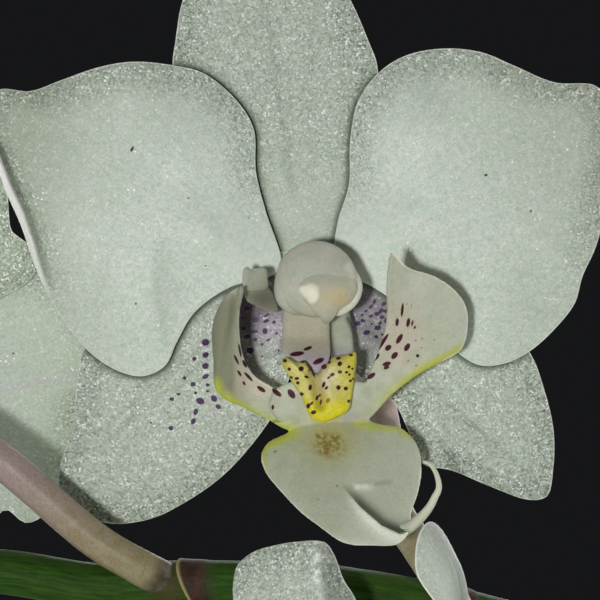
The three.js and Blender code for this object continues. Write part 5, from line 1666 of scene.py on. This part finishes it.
def leaf_shape(leaf):
    """Pitch falls by share^1.3, and the line adds up its cosines and sines.

    Half width = width / 2 x a smooth widening x the root of 1 - past^2.6 beyond the widest place.
    A row crosses the leaf on the front from one edge to the other and comes back behind.
    """
    length, widest = leaf["length"], leaf["width"] / 2
    fine = np.linspace(0, 1, 400)
    pitch = np.radians(leaf["rise"] - (leaf["rise"] + leaf["bend"]) * fine**1.3)
    step = length / (len(fine) - 1)
    line_x = np.concatenate([[0], np.cumsum(np.cos(pitch[:-1]) * step)])
    line_z = np.concatenate([[0], np.cumsum(np.sin(pitch[:-1]) * step)])
    across = np.sin(np.linspace(-np.pi / 2, np.pi / 2, 41))
    column = np.concatenate([across, across[-2:0:-1]])
    front = np.concatenate([np.ones(41), -np.ones(39)])
    clear = STEM_RADIUS + 0.35
    first = np.sqrt(clear**2 - np.minimum(widest * 0.2 * column, clear * 0.9) ** 2)
    first = first / (length * np.cos(pitch[0]))
    rows = np.linspace(0, 1, 150)[:, None]
    share = np.minimum(first + (0.999 - first) * rows, 0.999)
    past = np.maximum(0, (share - 0.56) / 0.44)
    widening = 0.2 + 0.8 * smoothstep(share, 0, 0.56)
    half = widest * widening * np.sqrt(np.maximum(0.0004, 1 - past**2.6))
    y = column * half + 0.5 * np.sin(9 * share + 1) * column**2 * smoothstep(share, 0.2, 0.6)
    here = np.interp(share, fine, pitch)
    lift = 0.24 * np.abs(column * half) * (1 - 0.5 * share) - 0.5 * bump(column, 0, 0.05)
    wave = 0.7 * np.sin(7 * share + leaf["azimuth"]) * column**3 * smoothstep(share, 0.25, 0.7)
    body = 1.1 * np.sqrt(np.clip(1 - column**2, 0, 1)) * (0.6 + 0.4 * smoothstep(1 - share, 0, 0.1))
    rise = lift + wave + front * body
    x = np.interp(share, fine, line_x) - np.sin(here) * rise
    z = np.interp(share, fine, line_z) + np.cos(here) * rise
    shape = skin(
        capped(np.stack([x, y, z], -1)), across=padded(column + 0 * share), along=padded(share),
        under=padded((front < 0) + 0 * share))
    shape["points"] = shape["points"] @ turned(leaf["azimuth"], "z").T + np.array([0, 0, leaf["base"]])
    return shape


def leaf_colour(tree):
    line = streaks(tree, {"across": 22.0, "along": 3.0})
    cloud = use(tree, clouds, Size_mm=9.0, Low=0.45, High=0.75)["Cloud"]
    off_midrib = calc(tree, "ABSOLUTE", mark(tree, "across"), 0.0)
    return paint(
        tree, mix(tree, fade(tree, line, 0.35, 0.65), (0.022, 0.072, 0.012), (0.040, 0.110, 0.020)),
        (cloud, 0.6, (0.065, 0.135, 0.03)),
        (off_midrib, (0.07, 0.0, 0.6), (0.075, 0.16, 0.04)),
        (off_midrib, (0.955, 1.0, 0.7), (0.09, 0.06, 0.04)),
        ("under", 0.55, (0.075, 0.12, 0.05)))


def leaf_rough(tree):
    return fade(tree, noise(tree, 6.0), 0.3, 0.7, 0.28, 0.42)


def leaf_relief(tree):
    line = streaks(tree, {"across": 30.0, "along": 4.0}, detail=2.0)
    return calc(tree, "ADD", line, times(tree, noise(tree, 0.6), 0.4))


leaf_finish = material("fleshy leaf", leaf_colour, leaf_rough, leaf_relief, 0.12, Coat_Weight=0.15)
for number, leaf in enumerate(LEAVES, 1):
    piece(f"leaf_{number}_blade", leaf_shape(leaf), leaf_finish, [f"leaf_{number}"])

# %% Stem with old leaf sheaths
STEM_FOOT = 46
STEM_TOP = 83


def stem_radius(share, angle):
    """Full girth with a small step at every leaf, narrowing to the crown."""
    height = STEM_FOOT + (STEM_TOP - STEM_FOOT) * share
    swell = 0.8 + 0.2 * smoothstep(height, STEM_FOOT, 50)
    plain = STEM_RADIUS * swell * (1 - 0.62 * smoothstep(height, 78, STEM_TOP) ** 2)
    bases = np.array([leaf["base"] for leaf in LEAVES])
    step = ((height[..., None] + 0.5 * np.cos(angle)[..., None] - bases) / 3) % 1
    return plain - 0.18 * step[..., 0]


def stem_colour(tree):
    base = cloudy(tree, 2.0, (0.05, 0.10, 0.02), (0.10, 0.14, 0.04))
    return paint(tree, base, ("along", (0.55, 0.2, 1.0), (0.16, 0.11, 0.06)))


stem_finish = material("sheathed stem", stem_colour, 0.5, fine_lumps, 0.08)
stem_route = [(0, 0, height) for height in (STEM_FOOT, 58, 70, STEM_TOP)]
piece("stem_sheathed", tube(stem_route, stem_radius, 72, 200), stem_finish, ["stem"])

# %% [markdown]
# ## Roots
# The roots are wrapped in velamen, a spongy coat that is silver when dry and green when wet. They
# wander over the bark and dive into it. A tube with slow swellings carries a mottled finish.

# %% Roots
ROOT_ROUTES = (
    ((0, 0, 61), (9, 1, 62.5), (18, 2, 61), (23, 2, 54), (24, 1, 45)),
    ((0, 0, 62), (-3, 10, 63), (-7, 17, 61.5), (-9, 21, 54), (-9.5, 22, 44)),
    ((0, 0, 61.5), (-10, -5, 63), (-17, -11, 60), (-19, -13, 50)),
    ((0, 0, 62.5), (-1, -12, 64), (-5, -28, 68), (-7, -36, 68.2), (-8, -41, 60), (-7, -42, 47),
     (-4, -41.5, 38)),
)


def root_radius(share, angle):
    """2.1 mm narrowing to 1.5 mm with the square of the share, uneven, and rounded at the tip."""
    plain = 2.1 - 0.6 * share**2
    uneven = 0.09 * np.sin(23 * share + 2 * np.sin(angle)) + 0.05 * np.sin(51 * share + 3 * angle)
    return (plain + uneven) * np.sqrt(np.clip((1.0 - share) / 0.03, 0.002, 1))


def root_colour(tree):
    return paint(
        tree, cloudy(tree, 2.2, (0.24, 0.28, 0.18), (0.42, 0.44, 0.36), 0.4, 0.6),
        (noise(tree, 0.5), (0.45, 0.7, 0.5), (0.50, 0.50, 0.42)),
        ("along", (0.9, 0.97, 1.0), (0.13, 0.22, 0.05)))


root_finish = material("silver root", root_colour, 0.75, fine_lumps, 0.12)
for number, route in enumerate(ROOT_ROUTES, 1):
    route = np.array(route, float)
    leaving = route[:1] + unit(route[1] - route[0]) * (STEM_RADIUS + 0.4)
    shape = tube(np.vstack([leaving, route[1:]]), root_radius, 32, 220)
    piece(f"aerial_root_{number}_coat", shape, root_finish, [f"aerial_root_{number}"])

# %% [markdown]
# ## Bark
# The pot is filled with pieces of pine bark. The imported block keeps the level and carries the
# same finish, and loose chips lie over it: small uneven slabs of a few dozen faces, each with its
# own size, turn and tone from a seeded draw.

# %% Bark chips
draw = np.random.default_rng(11)
CHIPS = 260
CHIP_SIZES = ((2.4, 4.4), (1.6, 3.0), (0.8, 1.5))
BARK_RADIUS = 27.5
BARK_LEVEL = 57.6


def bark_chips():
    """Slabs in one array: a rounded box per chip, roughened, leaned, turned and laid.

    Leaning lifts a point by the tangents of two angles times its place across and along.
    """
    radius = BARK_RADIUS * np.sqrt(draw.random(CHIPS))
    heading = 2 * np.pi * draw.random(CHIPS)
    x, y = radius * np.cos(heading), radius * np.sin(heading)
    routes = np.vstack([smooth_curve(route, np.linspace(0, 1, 60)) for route in ROOT_ROUTES])
    high = routes[routes[:, 2] > 56]
    to_root = np.hypot(x[:, None] - high[:, 0], y[:, None] - high[:, 1]).min(1)
    free = (radius > 8) & (to_root > 4.6)
    x, y = x[free], y[free]
    count = len(x)
    size = np.stack([draw.uniform(*limits, count) for limits in CHIP_SIZES], -1)
    tall = np.linspace(-np.pi / 2, np.pi / 2, 7)[:, None]
    about = circle(8)[None, :]
    root = lambda value: np.sign(value) * np.abs(value) ** 0.5
    box = np.stack([root(np.cos(tall)) * root(np.cos(about)), root(np.cos(tall)) * root(np.sin(about)),
                    root(np.sin(tall)) + 0 * about], -1)
    rough = 1 + draw.uniform(-0.16, 0.16, (count, 7, 8, 1)) * (np.abs(np.sin(tall)) < 0.99)[..., None]
    across, along, up = np.moveaxis(box[None] * rough * size[:, None, None], -1, 0)
    column = lambda values: values[:, None, None]
    turn = np.radians(draw.uniform(0, 360, count))
    lean = np.tan(np.radians(draw.uniform(-24, 24, (count, 2))))
    c, s = column(np.cos(turn)), column(np.sin(turn))
    up = up + (across * column(lean[:, 0]) + along * column(lean[:, 1]))
    grids = np.stack([
        across * c - along * s + column(x),
        across * s + along * c + column(y),
        up + column(BARK_LEVEL + draw.uniform(-0.6, 1.2, count)),
    ], -1)
    tones = draw.random(count)
    return join([skin(grid, tone=np.full((7, 8), tone)) for grid, tone in zip(grids, tones)])


def bark_colour(tree):
    cloud = use(tree, clouds, Size_mm=1.3, Low=0.35, High=0.65)["Cloud"]
    dark = mix(tree, cloud, (0.055, 0.026, 0.012), (0.15, 0.075, 0.035))
    light = mix(tree, cloud, (0.12, 0.065, 0.035), (0.27, 0.16, 0.09))
    base = mix(tree, mark(tree, "tone"), dark, light)
    return paint(tree, base, (noise(tree, 0.5), (0.55, 0.75, 0.6), (0.035, 0.02, 0.012)))


def bark_relief(tree):
    return calc(tree, "ADD", noise(tree, 0.5, 4.0), times(tree, noise(tree, 2.2, 3.0), 1.5))


bark = material("pine bark", bark_colour, 0.85, bark_relief, 0.35)
piece("bark_chips", bark_chips(), bark, smooth=False)
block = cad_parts["potting_medium"]
block.data.materials.clear()
block.data.materials.append(bark)

# %% [markdown]
# ## The pot
# The cover pot is thrown or cast, then glazed: a thick milky glaze that thins and warms at the
# rim and over the raised band. Its profile is turned round the axis, with every corner rounded.

# %% Pot
POT_PROFILE = (
    (0, 0), (22.4, 0), (23.3, 0.12), (23.9, 0.6), (24.15, 1.4), (33.0, 56.4), (33.5, 57.1),
    (34.2, 57.5), (34.45, 58.2), (35.4, 64.4), (35.35, 65.3), (34.8, 65.9), (34.1, 66.0),
    (33.2, 66.0), (32.4, 65.8), (31.6, 65.2), (31.3, 64.4), (21.8, 6.0), (21.3, 4.9), (20.3, 4.2),
    (19.0, 4.0), (0, 4.0),
)


def lathe(radius, height, around):
    """A profile turned round the axis; its ends lie on the axis."""
    angle = circle(around)
    return np.stack([radius * np.cos(angle), radius * np.sin(angle), height + 0 * angle], -1)


def pot_shape():
    """The profile in steps of about a millimetre, turned through a full circle."""
    corners = np.array(POT_PROFILE, float)
    length = np.concatenate([[0], np.cumsum(np.linalg.norm(np.diff(corners, axis=0), axis=1))])
    fine = np.union1d(np.linspace(0, length[-1], 240), length)
    radius, height = [np.interp(fine, length, corners[:, k])[:, None] for k in (0, 1)]
    return skin(lathe(radius, height, 180), level=height + 0 * circle(180))


def pot_colour(tree):
    speckle = noise(tree, 0.7, 1.0)
    return paint(
        tree, cloudy(tree, 14.0, (0.68, 0.665, 0.62), (0.76, 0.75, 0.71)),
        ("level", (64.6, 65.9, 0.6), (0.55, 0.47, 0.37)),
        ("level", (1.6, 0.7, 1.0), (0.55, 0.46, 0.36)),
        (speckle, (0.70, 0.76, 0.6), (0.33, 0.25, 0.17)))


def pot_rough(tree):
    return fade(tree, mark(tree, "level"), 1.6, 0.7, 0.22, 0.8)


pot_finish = material(
    "milky glaze", pot_colour, pot_rough, lambda tree: noise(tree, 9.0), 0.12,
    Coat_Weight=0.5, Coat_Roughness=0.12)
piece("pot_glazed", pot_shape(), pot_finish, ["pot"])

# %% [markdown]
# ## Floor, light and camera
# The pale floor is a disc under the pot. A small light beside the camera, a little to its left
# and low, gives the short shadows that fall to the right. Wide, weak lights fill the rest from
# every side in a nearly black room. The camera looks straight along +Y at the main bloom.

# %% Floor
def floor_colour(tree):
    return mix(tree, fade(tree, noise(tree, 60.0), 0.3, 0.7), (0.60, 0.59, 0.57), (0.64, 0.63, 0.61))


def floor_shape():
    """A thin closed disc of 1.5 m radius, its top 0.02 mm under the pot's foot."""
    radius = np.array([[0], [1500], [1500], [0]])
    height = np.array([[0], [0], [-2], [-2]]) - 0.02
    return skin(lathe(radius, height, 128))


floor_finish = material("pale floor", floor_colour, 0.7, lambda tree: noise(tree, 3.0), 0.05)
floor = bpy.data.objects.new("floor", mesh_of("floor", floor_shape(), smooth=False))
floor.data.materials.append(floor_finish)
bpy.context.scene.collection.objects.link(floor)
print("floor:", len(floor.data.vertices), "points")

# %% Lights
LIGHTS = {
    "key beside the camera": ((-72, -434, 158), (-8, 0, 172), 28, 1.2),
    "soft fill from the right": ((850, 250, 400), (0, 0, 120), 600, 4.0),
    "soft top": ((0, 240, 880), (0, 0, 100), 600, 3.0),
    "soft left": ((-850, 250, 350), (0, 0, 120), 600, 3.5),
    "soft back": ((150, 900, 450), (0, 0, 100), 700, 6.0),
}
for name, (place, target, size, power) in LIGHTS.items():
    data = bpy.data.lights.new(name, "AREA")
    data.size = size * MM
    data.energy = power
    light = bpy.data.objects.new(name, data)
    light.location = np.array(place) * MM
    aim = Vector(np.array(target, float) - np.array(place, float))
    light.rotation_mode = "QUATERNION"
    light.rotation_quaternion = aim.to_track_quat("-Z", "Y")
    light.visible_camera = False
    bpy.context.scene.collection.objects.link(light)
room = bpy.data.worlds.new("dark room")
room.use_nodes = True
room.node_tree.nodes["Background"].inputs["Color"].default_value = (0.008, 0.0083, 0.009, 1)
room.node_tree.nodes["Background"].inputs["Strength"].default_value = 1.0
bpy.context.scene.world = room
bpy.context.scene.view_settings.view_transform = "Standard"
print("lights:", len(LIGHTS))

# %% Camera
camera_data = bpy.data.cameras.new("photo camera")
camera_data.lens = 225
camera_data.sensor_width = 36
camera_data.clip_start = 0.01
camera = bpy.data.objects.new("photo camera", camera_data)
camera.location = (-0.010, -0.300, 0.178)
camera.rotation_euler = (np.pi / 2, 0, 0)
bpy.context.scene.collection.objects.link(camera)
bpy.context.scene.camera = camera
print("camera at", tuple(camera.location))
